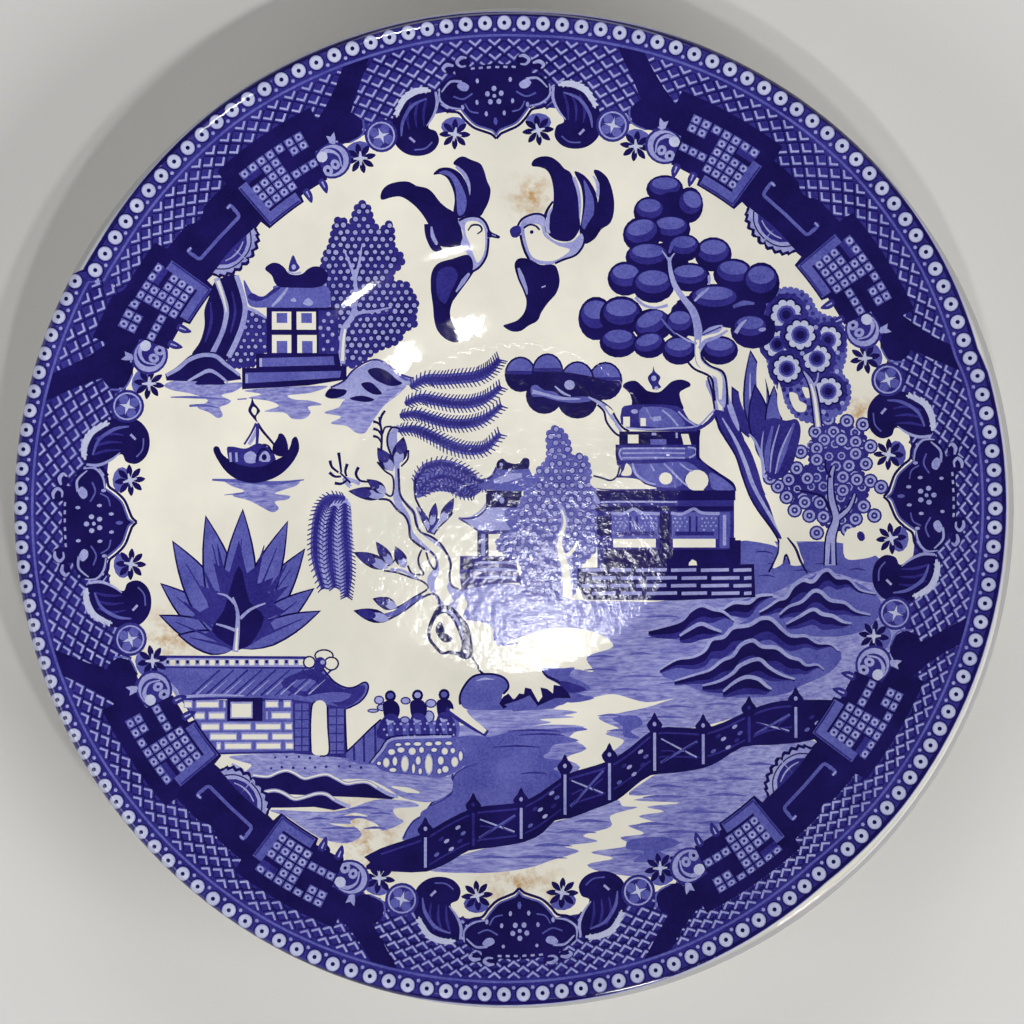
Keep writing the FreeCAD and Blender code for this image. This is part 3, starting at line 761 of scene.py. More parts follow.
def willow_fronds():
    # four that stream to the right
    frond([
        (-15.6, 18.2), (-13.4, 19.4), (-10.9, 19.4), (-8.3, 19.6), (-5.6, 19.9), (-3.6, 20.9),
        (-2.1, 22.5)], 2.7, 29)
    frond([
        (-16.4, 15.7), (-14.2, 16.6), (-11.6, 16.2), (-8.9, 15.8), (-6.3, 15.9), (-4.0, 16.7),
        (-1.9, 18.4)], 2.5, 29)
    frond([
        (-17.2, 13.9), (-14.9, 14.2), (-12.2, 13.4), (-9.6, 12.8), (-6.9, 12.8), (-4.3, 13.6),
        (-1.8, 15.6)], 2.4, 30)
    frond([
        (-17.5, 11.8), (-14.9, 11.9), (-12.2, 10.8), (-9.6, 9.5), (-6.9, 8.8), (-4.3, 9.1), (-2.0, 11.3)],
        2.5, 31)
    # three that bow over the small pagoda
    lump(BLUE, [
        (-14.8, 1.6), (-15.0, 4.8), (-13.4, 6.4), (-10.8, 6.9), (-8.2, 6.2), (-5.9, 4.6), (-4.4, 3.3),
        (-6.0, 1.8), (-7.8, 1.6), (-9.6, 2.4), (-12.0, 2.5)])
    frond([(-14.9, 3.6), (-13.7, 5.8), (-11.1, 6.7), (-8.5, 6.1), (-6.3, 4.8), (-4.4, 3.3)], 2.2, 22)
    frond([(-14.5, 2.2), (-13.1, 3.9), (-11.0, 4.8), (-8.8, 4.4), (-7.0, 3.2), (-5.8, 2.2)], 2.0, 18)
    frond([(-13.9, 1.9), (-12.0, 3.1), (-9.8, 3.2), (-8.2, 2.2), (-6.4, 1.8)], 1.5, 14)
    # three that hang on the left
    lump(SKY, [
        (-24.9, 1.3), (-27.6, 1.9), (-29.6, 0.4), (-30.4, -3.2), (-30.2, -8.0), (-28.7, -12.0),
        (-26.8, -12.0), (-25.3, -13.0), (-24.4, -8.0), (-24.4, -2.4)])
    frond([(-25.4, 1.5), (-27.8, 1.5), (-29.3, -0.4), (-29.9, -4.0), (-29.8, -8.0), (-28.7, -12.2)], 2.2, 27)
    frond([(-27.0, 0.4), (-27.7, -3.2), (-27.6, -8.0), (-27.0, -12.0)], 2.1, 22)
    frond([(-25.5, 0.8), (-25.4, -4.0), (-25.0, -9.0), (-25.2, -13.4)], 2.2, 26)


def bud(x0, y0, x1, y1, width):
    """A willow bud: light calyx at its base, dark beyond."""
    leaf(NAVY, x0, y0, x1, y1, width * 1.15)
    dx, dy = x1 - x0, y1 - y0
    leaf(SKY, x0, y0, x0 + dx * 0.62, y0 + dy * 0.62, width * 0.75)
    slant = math.degrees(math.atan2(dy, dx))
    long_half = math.hypot(dx, dy) * 0.6 * 0.42
    lump(COBALT, oval(x0 + dx * 0.62, y0 + dy * 0.62, long_half, width * 0.4, slant, 8), 2)


def willow_trunk():
    """The stem, drawn as light wood between two dark lines, with its side twigs and buds."""
    left = [
        (-17.6, 12.6), (-18.8, 11.2), (-19.0, 9.4), (-18.2, 7.4), (-17.9, 5.4), (-18.1, 3.4), (-18.2, 1.6),
        (-17.4, -0.4), (-16.2, -1.4), (-15.8, -2.8), (-15.6, -4.4), (-14.4, -5.6), (-13.2, -6.4),
        (-12.2, -7.2), (-11.8, -8.6), (-13.0, -10.4), (-12.9, -11.9), (-12.2, -13.0), (-11.6, -13.8),
        (-11.5, -14.6)]
    right = [
        (-6.6, -21.8), (-6.6, -19.4), (-7.2, -17.6), (-8.2, -16.2), (-8.6, -14.8), (-7.8, -12.4),
        (-9.2, -11.8), (-9.7, -10.2), (-9.5, -8.2), (-10.2, -6.6), (-11.4, -5.2), (-13.0, -4.2),
        (-14.2, -3.0), (-14.8, -0.6), (-16.0, 0.8), (-17.1, 2.0), (-17.4, 4.0), (-17.2, 6.2), (-17.4, 8.6),
        (-17.6, 11.2), (-17.0, 12.4)]
    ink(SKY, smooth(left, False, 3) + smooth(right, False, 3))
    stroke(PAPER, [
        (-16.9, 1.0), (-15.4, -1.2), (-14.8, -3.4), (-13.0, -5.2), (-11.0, -7.0), (-10.4, -9.6),
        (-11.0, -12.0), (-9.6, -14.4)], [0.15, 0.7, 0.9, 1.4, 2.0, 1.4])
    stroke(NAVY, [(-17.2, 12.0), (-18.3, 12.2), (-19.0, 11.0), (-19.0, 9.4), (-18.2, 7.4)], 0.32)
    stroke(NAVY, [
        (-20.6, 7.0), (-19.4, 5.6), (-18.3, 4.8), (-18.1, 3.2), (-18.4, 1.9), (-19.2, 2.1), (-20.2, 3.2)],
        0.3)
    stroke(NAVY, [
        (-20.4, 1.4), (-18.8, 1.2), (-17.6, -0.2), (-16.4, -1.2), (-15.8, -2.6), (-15.6, -4.4),
        (-14.4, -5.5), (-13.4, -6.2)], 0.36)
    stroke(NAVY, [
        (-17.4, 6.0), (-17.3, 4.0), (-17.1, 2.0), (-16.0, 0.4), (-15.1, -0.6), (-14.7, -2.4), (-14.0, -3.6),
        (-12.6, -4.2), (-11.2, -5.2), (-10.1, -6.8), (-9.5, -8.4), (-9.7, -10.2), (-9.2, -11.8),
        (-7.6, -12.4)], 0.36)
    stroke(NAVY, [(-17.0, 6.3), (-16.0, 7.4), (-15.9, 8.8)], 0.3)
    stroke(NAVY, [(-14.8, 4.6), (-14.9, 2.0), (-14.4, 0.6), (-13.8, -0.4)], 0.32)
    stroke(NAVY, [(-12.1, -4.0), (-11.2, -2.8), (-9.8, -1.4), (-9.2, -0.6)], 0.3)
    stroke(SKY, [(-14.6, 0.2), (-13.9, -1.4), (-13.2, -2.8)], [0.35, 0.5, 0.3])
    stroke(NAVY, [(-14.3, -0.4), (-13.6, -2.0), (-13.0, -3.6)], 0.22)
    stroke(COBALT, [(-12.6, -3.8), (-12.2, -2.6), (-11.6, -1.4)], 0.9)
    stroke(SKY, [(-12.3, -3.6), (-11.2, -2.2), (-9.9, -1.0)], 0.4)
    stroke(NAVY, [
        (-13.9, -6.2), (-14.4, -7.6), (-14.2, -8.8), (-13.6, -9.9), (-14.4, -10.0), (-15.4, -9.8),
        (-16.0, -8.6)], 0.32)
    stroke(NAVY, [
        (-13.2, -6.6), (-12.8, -8.0), (-12.0, -9.2), (-11.6, -8.6), (-11.8, -7.4), (-12.6, -6.4)], 0.3)
    stroke(NAVY, [
        (-19.6, -9.4), (-17.6, -9.7), (-15.6, -10.4), (-13.8, -11.0), (-12.9, -11.9), (-13.6, -12.6),
        (-15.0, -13.4), (-17.2, -14.8), (-18.8, -15.2)], 0.3)
    stroke(SKY, [(-18.6, -9.3), (-16.8, -9.4), (-14.6, -10.6)], [0.5, 0.4, 0.5])
    stroke(NAVY, [
        (-19.8, -17.1), (-18.2, -16.4), (-16.2, -15.2), (-14.2, -13.7), (-12.4, -12.9), (-11.4, -13.4),
        (-11.2, -14.6)], 0.36)
    stroke(BLUE, [(-19.4, -16.2), (-17.6, -15.6), (-15.6, -14.2), (-13.8, -13.2)], [0.7, 0.8, 0.5])
    stroke(NAVY, [(-20.6, -8.7), (-18.8, -8.6), (-17.8, -7.6)], 0.25)
    for shape in (
            (-18.2, 5.6, -20.6, 9.2, 1.9), (-17.6, 6.6, -16.6, 10.8, 2.0), (-19.4, 1.9, -25.0, 2.6, 1.8),
            (-19.2, 2.3, -22.2, 4.4, 1.5), (-12.8, -3.2, -14.0, -0.1, 1.0), (-12.4, -2.6, -11.8, 0.9, 1.2),
            (-11.0, -2.2, -9.0, 1.6, 1.4), (-18.9, -9.0, -24.2, -6.6, 1.9), (-18.3, -8.6, -20.8, -5.0, 1.5),
            (-16.4, -9.0, -17.9, -5.7, 1.6), (-17.6, -14.9, -21.3, -13.6, 1.7),
            (-18.8, -16.8, -24.2, -15.4, 1.8)):
        bud(*shape)


def willow_twigs():
    """The bare twigs at the left."""
    stroke(SKY, [(-24.6, 3.2), (-25.6, 4.4), (-24.4, 4.2), (-23.2, 3.7)], 0.6)
    for tip in (
            ((-27.7, 7.2), (-27.4, 6.2), (-26.4, 5.4)),
            ((-26.4, 8.4), (-26.2, 7.0), (-26.0, 5.4)),
            ((-25.1, 6.7), (-25.4, 5.6), (-25.2, 4.8)),
            ((-27.8, 5.4), (-27.0, 4.8), (-26.0, 4.8)),
            ((-27.0, 3.8), (-26.0, 3.7), (-25.2, 4.2)),
            ((-23.4, 6.2), (-23.8, 5.2), (-23.2, 4.2), (-22.0, 4.0))):
        stroke(NAVY, list(tip), [0.5, 0.4, 0.3])
    stroke(NAVY, [(-26.2, 5.4), (-25.4, 4.6), (-24.6, 3.8)], 0.3)
    for dy in (0.0, 1.1, 2.2):
        stroke(NAVY, [(-21.2, 10.9 + dy), (-20.4, 10.6 + dy), (-19.9, 9.8 + dy)], [0.45, 0.35, 0.3])
    stroke(NAVY, [(-20.0, 8.6), (-19.9, 11.0), (-20.2, 13.2), (-20.3, 13.8)], 0.36)
    stroke(NAVY, [(-19.8, 11.2), (-19.4, 12.2), (-18.4, 12.3)], 0.3)
    stroke(NAVY, [(-20.2, 13.0), (-19.9, 14.0), (-19.4, 14.7)], 0.4)


def willow_knot():
    """The knot at the foot of the stem."""
    lump(NAVY, [
        (-11.4, -14.8), (-12.4, -16.4), (-13.0, -18.2), (-12.9, -19.8), (-12.0, -21.0), (-11.0, -22.0),
        (-9.8, -22.0), (-8.6, -22.2), (-7.4, -22.8), (-6.4, -22.4), (-6.2, -21.0), (-6.5, -19.0),
        (-7.0, -17.4), (-8.2, -16.0), (-9.6, -14.7)])
    lump(PAPER, [
        (-11.6, -16.4), (-12.3, -17.8), (-12.5, -19.4), (-11.6, -20.8), (-10.6, -21.6), (-9.6, -21.4),
        (-8.2, -21.6), (-7.9, -20.4), (-8.4, -18.6), (-9.2, -17.0), (-10.4, -15.8)])
    stroke(SKY, [(-10.9, -15.4), (-9.4, -15.8), (-8.2, -17.6), (-7.6, -19.8)], [0.3, 0.5, 0.4, 0.1])
    lump(NAVY, [
        (-11.3, -17.2), (-11.8, -18.2), (-11.4, -19.4), (-10.5, -20.2), (-9.6, -20.1), (-9.2, -19.6),
        (-10.2, -18.8), (-10.8, -17.4)], 3)
    disc(SKY, -7.3, -21.6, 0.3, count=7)


def blob_cluster():
    """A clump of round crowns, light above and dark below."""
    for x, y, rx, ry, lit in (
            (4.6, 17.0, 2.8, 2.8, 0), (9.6, 16.2, 3.0, 2.7, 0), (1.0, 20.2, 2.4, 2.7, 1),
            (5.1, 20.6, 2.4, 2.8, 1), (13.8, 19.2, 2.6, 2.9, 1), (9.6, 19.2, 2.6, 3.0, 1)):
        disc(NAVY, x, y, rx, ry, 0, 20)
        if lit:
            cap = oval(x, y, rx - 0.3, ry - 0.3, 0, 28)
            ink(COBALT, [p for p in cap if p[1] > y - 0.5])
            ink(BLUE, [p for p in cap if p[1] > y + 0.4])
    lump(NAVY, [(2.6, 20.0), (7.0, 20.6), (13.6, 19.4), (15.6, 18.2), (13.0, 16.2), (7.0, 17.0), (3.0, 18.4)])
    lump(BLUE, [
        (2.6, 18.2), (3.4, 18.6), (4.6, 17.8), (6.0, 17.6), (7.4, 16.8), (9.4, 16.8), (11.0, 16.8),
        (11.6, 16.2), (9.0, 15.9), (6.6, 16.2), (4.4, 16.8), (2.8, 16.9)])
    stroke(SKY, [(2.8, 17.6), (4.6, 17.2), (7.0, 16.6), (10.0, 16.5)], [0.7, 0.4, 0.5, 0.2])
    disc(SKY, 8.4, 18.6, 0.8, 0.75, count=10)
    stroke(SKY, [(6.2, 18.4), (7.4, 17.4), (8.6, 16.9)], [0.2, 0.4, 0.2])
    stroke(NAVY, [(11.0, 17.2), (13.0, 16.2), (14.6, 15.0), (15.4, 13.6), (16.4, 12.2), (17.4, 11.6)], 0.34)
    stroke(NAVY, [(12.6, 15.6), (13.6, 14.6), (14.0, 13.0), (15.2, 11.4), (16.2, 10.8)], 0.34)
    stroke(SKY, [(11.2, 16.8), (13.6, 15.4), (15.0, 13.4), (16.2, 11.6)], [0.2, 0.6, 0.5, 0.4])
    stroke(PAPER, [(13.9, 15.4), (14.9, 14.3)], [0.3, 0.7])
    stroke(PAPER, [(14.2, 13.8), (15.0, 12.6)], [0.3, 0.7])


def crown(x, y, rx, ry, lit=None):
    """One round crown of the apple tree; lit is how far its light side turns clockwise from the top."""
    disc(NAVY, x, y, rx, ry, 0, 18)
    if lit is not None:
        s, c = math.sin(math.radians(lit)), math.cos(math.radians(lit))
        disc(COBALT, x + 0.16 * rx * s, y + 0.2 * ry * c, rx * 0.84, ry * 0.66, -lit, 16)
        disc(BLUE, x + 0.32 * rx * s, y + 0.4 * ry * c, rx * 0.7, ry * 0.42, -lit, 16)


def crowns(*places):
    for place in places:
        crown(*place)


def apple_tree():
    """The big tree on the right: dark gaps, then its round crowns."""
    for x, y, rx, ry in (
            (27.5, 29.0, 4.0, 3.2), (33.4, 30.4, 4.6, 3.4), (23.0, 36.5, 3.4, 3.6), (36.0, 26.8, 3.4, 2.8)):
        disc(NAVY, x, y, rx, ry, 0, 16)
    crowns(
        (22.6, 43.4, 4.0, 2.6), (22.7, 48.0, 2.8, 2.1, 0), (24.2, 45.4, 3.2, 2.2),
        (26.4, 45.6, 2.1, 2.7, 40), (20.4, 44.6, 2.4, 2.3, 0), (23.6, 42.0, 3.0, 2.2, 0),
        (19.3, 41.2, 2.9, 2.7, -15), (20.2, 37.8, 3.4, 2.4, 0), (16.8, 34.6, 2.7, 2.6, 0),
        (21.0, 33.6, 3.2, 2.7, 0), (30.0, 38.2, 2.8, 2.6, 0), (25.6, 39.2, 2.5, 2.1, 0))
    stroke(BLUE, [(23.4, 38.4), (23.8, 39.6), (24.4, 40.6)], [0.3, 0.6, 0.2])
    crowns(
        (26.4, 34.8, 3.2, 2.2, 0), (33.0, 35.2, 3.0, 2.4, 5), (37.2, 33.8, 2.8, 3.2, 0),
        (30.2, 31.4, 4.0, 2.4, 0))
    stroke(SKY, [(27.2, 31.2), (28.2, 32.2), (29.4, 33.2)], [0.3, 0.5, 0.2])
    stroke(BLUE, [(33.0, 30.3), (34.6, 30.9), (36.2, 30.8)], [0.4, 0.8, 0.3])
    crown(35.6, 27.0, 2.8, 2.3, 0)
    stroke(SKY, [(33.4, 26.4), (34.2, 27.6), (35.0, 28.4)], [0.6, 0.5, 0.2])
    disc(SKY, 37.4, 26.9, 0.6, 0.3, 10, 8)
    crowns(
        (12.4, 28.6, 2.7, 3.3, 0), (16.2, 29.0, 3.3, 3.0, 0), (15.8, 25.0, 2.9, 2.3, 0),
        (20.9, 27.6, 3.0, 2.5, -25), (25.0, 27.8, 2.2, 2.3, 0), (20.4, 24.6, 2.5, 2.0, -15),
        (24.9, 23.8, 2.6, 2.2, 0), (31.0, 23.8, 2.8, 2.2, 0))
    stroke(BLUE, [(22.2, 28.6), (23.2, 27.4), (24.4, 26.2)], [0.2, 0.4, 0.2])
    lump(SKY, [(28.2, 26.0), (29.4, 27.2), (31.4, 27.6), (31.0, 26.6), (29.6, 26.2)], 3)
    stroke(COBALT, [(28.4, 26.1), (29.8, 26.7), (31.2, 27.3)], 0.2)
    lump(PAPER, [(22.2, 31.0), (23.4, 31.7), (24.6, 31.0), (23.4, 30.4)], 3)
    stroke(SKY, [(18.3, 31.8), (19.6, 30.6), (21.4, 30.2), (23.2, 30.6)], [0.5, 0.45, 0.35, 0.5])


def apple_wood():
    """The big tree's stem and boughs."""
    stroke(NAVY, [(26.0, 22.4), (27.2, 21.0), (29.6, 19.8), (30.1, 18.0), (30.3, 16.2)], 0.36)
    stem = [(28.5, 24.0), (28.3, 22.8), (29.6, 21.4), (31.4, 20.6), (32.0, 19.0), (32.2, 15.6)]
    stroke(NAVY, stem, 0.4)
    wood = [
        (27.2, 25.6), (27.3, 22.4), (28.0, 21.2), (29.8, 20.2), (30.3, 18.0), (30.6, 16.4), (31.8, 15.2),
        (31.9, 18.6), (31.3, 20.4), (29.4, 21.4), (28.2, 22.6), (28.2, 25.0), (28.4, 26.8), (27.9, 29.0),
        (27.2, 30.4), (25.8, 32.0), (24.6, 33.8), (23.9, 35.8), (23.6, 37.6), (23.2, 37.6), (23.3, 35.6),
        (23.9, 33.4), (25.0, 31.6), (26.4, 29.6), (27.0, 27.8)]
    lump(SKY, wood, 3)
    stroke(PAPER, [
        (27.7, 25.4), (27.8, 22.4), (29.0, 21.0), (30.8, 20.0), (31.1, 18.4), (31.1, 16.4)],
        [0.5, 0.7, 0.8, 0.9, 0.7, 0.4])
    stroke(SKY, [(23.4, 37.2), (22.9, 38.0), (22.3, 38.8)], [0.35, 0.15])
    stroke(SKY, [(23.5, 37.2), (23.8, 37.9), (24.2, 38.4)], [0.35, 0.15])
    stroke(SKY, [(28.0, 24.0), (28.9, 25.2), (30.6, 25.8), (32.2, 26.8)], [0.7, 0.6, 0.5, 0.3])
    stroke(SKY, [(27.6, 24.8), (26.0, 25.4), (24.4, 26.4)], [0.3, 0.3, 0.1])
    lump(SKY, [(29.2, 35.0), (29.6, 35.0), (29.6, 33.8), (29.3, 33.7)], 2)


# ---------------------------------------------------------------- middle
def middle_ground():
    """The tone of the bank that runs across the middle and the right."""
    lump(WATER, [
        (-8.0, -12.0), (-4.0, -11.4), (1.0, -11.6), (8.0, -13.6), (16.0, -14.0), (24.0, -13.6),
        (33.0, -8.6), (34.0, -5.0), (40.0, -5.0), (47.0, -5.2), (54.0, -7.4), (58.0, -10.0), (58.0, -22.0),
        (54.0, -27.0), (46.0, -31.0), (34.0, -30.0), (26.0, -28.6), (20.0, -29.2), (15.0, -28.0),
        (10.0, -28.4), (4.2, -24.4), (9.0, -24.2), (12.0, -24.6), (11.0, -22.4), (15.0, -20.8),
        (12.0, -18.6), (6.0, -18.0), (0.0, -19.8), (-2.4, -20.6), (-3.6, -17.6), (-7.6, -16.6),
        (-7.0, -14.4)], 5)
    stroke(BLUE, [(-2.8, -17.8), (-3.0, -19.4), (-2.2, -20.6), (0.6, -20.3)], 0.25)
    dashes(BLUE, (
        (11.2, -22.4, 4.0), (10.6, -24.4, 5.0), (16.0, -25.4, 6.0), (17.4, -22.0, 3.5), (19.6, -19.6, 3.6),
        (14.4, -27.4, 5.0), (20.0, -16.4, 5.0), (22.0, -26.4, 6.0)), 0.15, 0.4)


def berry_clump():
    """The berry tree in front of the tea house."""
    crown_edge = [
        (1.6, -12.2), (1.6, -8.6), (-0.8, -6.8), (-2.4, -5.6), (-1.4, -4.2), (-0.2, -4.0), (0.4, -1.6),
        (1.2, 0.6), (2.2, 2.6), (3.4, 4.4), (4.0, 6.0), (5.2, 7.0), (5.4, 9.2), (5.3, 11.0), (6.2, 12.0),
        (7.4, 11.2), (8.2, 9.6), (8.4, 7.4), (9.4, 7.8), (10.6, 7.6), (11.2, 5.8), (11.4, 3.6), (12.2, 2.0),
        (12.4, -1.0), (12.6, -4.0), (12.0, -6.2), (9.6, -8.8), (8.8, -12.6), (5.2, -13.6)]
    berry_tree(crown_edge, 21, 1.24, 0.38, 0.6, BLUE, COBALT)
    stroke(SKY, [
        (8.0, -13.6), (7.9, -9.0), (7.1, -6.8), (6.8, -5.2), (7.6, -2.6), (7.4, -0.4), (6.7, 0.6)],
        [1.9, 1.5, 1.3, 1.0, 0.8, 0.5])
    stroke(PAPER, [
        (8.1, -13.4), (7.8, -9.2), (7.0, -6.4), (7.0, -4.6), (7.7, -2.2), (7.2, -0.2)],
        [1.4, 1.1, 0.9, 0.6, 0.4, 0.2])
    stroke(PAPER, [(8.0, -7.2), (9.0, -6.2), (9.6, -5.0)], [0.7, 0.5, 0.3])
    stroke(SKY, [(6.6, -6.8), (5.6, -6.4), (4.6, -5.8)], [0.6, 0.4, 0.1])


def small_pagoda():
    stroke(SKY, [(-8.4, -1.6), (-6.6, -1.4), (-5.0, -0.4), (-4.0, 1.0)], 0.3)
    lump(SKY, [
        (-8.3, -1.4), (-6.4, -1.5), (-4.6, -0.6), (-3.6, 0.2), (0.8, 0.3), (1.4, -1.6), (0.4, -3.4),
        (-5.2, -3.4), (-6.4, -2.6)], 3)
    stroke(COBALT, [(-8.3, -1.5), (-6.4, -1.5), (-5.0, -0.9), (-3.9, 0.6), (-4.2, 2.6), (-5.2, 3.8)], 0.3)
    stroke(COBALT, [(-8.2, -1.6), (-6.8, -2.4), (-5.4, -3.4)], 0.28)
    lump(BLUE, [(-1.4, -0.4), (0.8, 0.0), (1.2, -2.6), (-0.6, -3.0)], 3)
    box(NAVY, -4.2, 0.1, 1.2, 2.7)
    disc(SKY, -2.6, 1.7, 0.35, 0.5, count=7)
    disc(SKY, -1.8, 1.2, 0.4, 0.5, count=7)
    lump(BLUE, [
        (-5.4, 3.4), (-4.2, 4.2), (-3.0, 5.0), (-2.4, 6.0), (1.6, 6.4), (2.6, 5.4), (3.6, 3.6), (2.0, 2.6),
        (-4.0, 2.8)], 3)
    stroke(SKY, [(-3.0, 4.0), (-1.0, 4.6), (1.2, 5.0)], [0.6, 1.2, 0.6])
    stroke(COBALT, [(-5.2, 3.8), (-3.4, 4.8), (-2.6, 6.2)], 0.36)
    lump(NAVY, [
        (-2.5, 6.0), (-2.5, 7.0), (-1.7, 7.5), (-1.0, 7.0), (0.2, 6.7), (1.0, 7.0), (1.5, 7.6), (2.3, 7.4),
        (2.3, 6.2), (1.6, 5.9), (-1.0, 5.8)], 3)
    disc(SKY, -1.9, 6.6, 0.28, count=7)
    box(NAVY, -5.5, -7.2, -4.9, -3.4)
    box(NAVY, -4.3, -7.2, -3.8, -3.4)
    box(SKY, -4.9, -7.2, -4.3, -3.4)
    box(COBALT, -5.4, -3.9, 0.4, -3.3)
    ink(COBALT, [
        (-8.1, -7.2), (0.2, -7.2), (0.6, -9.4), (1.4, -11.2), (-3.4, -11.4), (-7.8, -12.4), (-8.2, -10.4)])
    for y in (-8.2, -9.3, -10.5):
        stroke(SKY, [(-5.8, y), (-2.4, y + 0.1), (0.4, y)], [0.2, 0.5, 0.2])
    for x0, y0, x1, y1 in ((-8.0, -9.2, -6.2, -7.6), (-7.9, -12.0, -6.6, -9.8), (-4.4, -8.0, -1.4, -7.5)):
        box(NAVY, x0, y0, x1, y1)
    stroke(SKY, [(-7.8, -11.6), (-6.6, -10.4)], 0.25)


def tea_house_top():
    """The upper roof with its curled ends and the finial."""
    lump(NAVY, [
        (16.4, 18.4), (17.2, 19.1), (18.4, 19.2), (19.4, 18.4), (20.2, 17.7), (21.8, 17.5), (22.8, 18.2),
        (23.8, 19.1), (25.2, 19.4), (26.4, 19.0), (26.6, 18.4), (25.8, 18.0), (25.0, 17.4), (25.2, 16.2),
        (25.6, 15.0), (24.6, 15.0), (21.0, 15.4), (18.0, 15.0), (17.8, 16.2), (17.4, 17.4)])
    lump(COBALT, [
        (20.4, 19.0), (20.2, 19.8), (20.9, 20.6), (21.0, 21.4), (21.3, 20.6), (22.1, 19.8), (21.8, 18.9),
        (22.2, 18.2), (21.0, 17.9), (20.8, 18.4)], 3)
    disc(SKY, 21.1, 19.6, 0.4, 0.42, count=8)
    disc(SKY, 21.5, 18.1, 0.3, 0.3, count=7)
    lump(COBALT, [
        (17.6, 15.6), (24.6, 15.4), (26.4, 13.4), (28.4, 12.6), (30.4, 14.6), (30.0, 13.2), (28.0, 11.8),
        (26.6, 11.6), (17.2, 12.0), (16.2, 14.6)], 3)
    lump(BLUE, [(19.4, 15.2), (23.6, 15.0), (25.8, 12.8), (24.6, 12.2), (19.6, 12.4), (18.9, 13.6)], 3)
    stroke(SKY, [(21.0, 13.4), (22.2, 13.6)], 0.7)
    stroke(SKY, [(22.4, 14.8), (23.6, 13.8), (24.8, 12.4)], 0.28)
    stroke(SKY, [(24.8, 14.6), (26.0, 13.4), (27.4, 12.5)], 0.26)
    stroke(SKY, [(17.0, 12.1), (20.6, 11.9), (24.0, 12.1), (27.6, 12.4), (29.4, 14.0), (30.3, 14.9)], 0.26)
    box(PAPER, 16.5, 12.3, 17.5, 13.8)
    box(PAPER, 19.1, 12.4, 19.9, 13.6)
    disc(SKY, 18.2, 14.6, 0.55, 0.35, count=8)


def upper_room():
    """The upper room with its windows."""
    box(NAVY, 15.9, 9.4, 28.0, 11.6)
    box(PAPER, 17.2, 9.8, 18.8, 11.1)
    ink(PAPER, [(25.2, 11.2), (26.3, 11.2), (26.8, 9.4), (25.6, 9.6)])
    box(BLUE, 20.6, 9.6, 23.0, 10.4)
    box(SKY, 20.8, 11.0, 21.4, 11.4)
    box(SKY, 24.4, 10.6, 24.7, 11.4)


def balcony():
    """The rail under the upper room."""
    ink(COBALT, [(15.5, 9.6), (28.0, 9.6), (28.0, 7.4), (15.5, 6.8)])
    ink(BLUE, [(16.2, 9.2), (27.2, 9.2), (27.2, 7.6), (16.2, 7.2)])
    for y in (9.0, 8.3, 7.6):
        stroke(SKY, [(16.4, y), (21.0, y + 0.05), (25.8, y)], 0.24)
    stroke(SKY, [(16.2, 9.0), (15.9, 8.2), (16.3, 7.3)], 0.28)
    stroke(SKY, [(26.2, 9.2), (27.3, 9.0), (27.4, 8.2), (26.4, 7.6)], 0.26)
    stroke(NAVY, [
        (27.9, 11.8), (27.7, 9.4), (27.9, 7.4), (30.2, 5.4), (32.8, 3.8), (33.4, 2.6)],
        [0.5, 0.4, 0.5, 0.8, 0.5, 0.3])
    stroke(NAVY, [(15.5, 9.6), (15.5, 8.0), (15.7, 6.9)], 0.32)


def lower_roof():
    """The lower roof with its curling eaves."""
    lump(COBALT, [
        (15.8, 7.0), (22.0, 7.2), (27.6, 7.4), (29.6, 5.8), (32.2, 4.0), (33.4, 2.4), (30.0, 2.6),
        (26.6, 2.6), (20.6, 2.6), (13.0, 2.8), (13.2, 3.6), (15.4, 4.6), (16.2, 5.8)], 3)
    lump(BLUE, [
        (17.2, 6.6), (22.0, 6.8), (26.0, 7.0), (28.0, 5.6), (26.0, 5.0), (25.2, 3.4), (21.8, 3.2),
        (19.2, 4.4), (17.8, 5.6)], 3)
    lump(BLUE, [(29.6, 5.4), (31.6, 4.4), (33.2, 2.8), (30.2, 2.8), (29.6, 4.0)], 3)
    lump(PAPER, [
        (12.6, 4.9), (11.6, 4.4), (11.6, 3.6), (12.4, 3.1), (14.4, 2.9), (18.0, 2.9), (21.6, 3.0),
        (19.8, 3.6), (18.6, 4.4), (15.6, 4.6), (14.0, 4.1)], 3)
    lump(PAPER, [(17.0, 6.8), (16.6, 5.8), (16.2, 5.0), (17.6, 5.0), (17.7, 6.0)], 3)
    for x, y, r in ((22.9, 4.5, 1.0), (27.6, 4.2, 1.75)):
        disc(PAPER, x, y, r, r * 0.92, 0, 14)
    lump(PAPER, [(27.0, 3.2), (28.6, 3.2), (28.4, 2.2), (27.8, 1.9)], 2)
    stroke(SKY, [(17.9, 6.8), (18.4, 5.2), (20.0, 4.0), (21.4, 3.6)], [0.3, 0.4, 0.35, 0.2])
    stroke(SKY, [(20.6, 6.6), (21.2, 5.6)], 0.25)
    stroke(SKY, [(22.6, 6.8), (24.0, 5.4), (25.4, 4.0), (26.2, 3.4)], 0.26)
    stroke(SKY, [(25.0, 6.8), (26.2, 5.9), (27.0, 5.6)], 0.24)
    stroke(NAVY, [(12.0, 4.9), (13.2, 4.6), (14.6, 4.2), (15.6, 4.9), (16.0, 6.4)], 0.28)


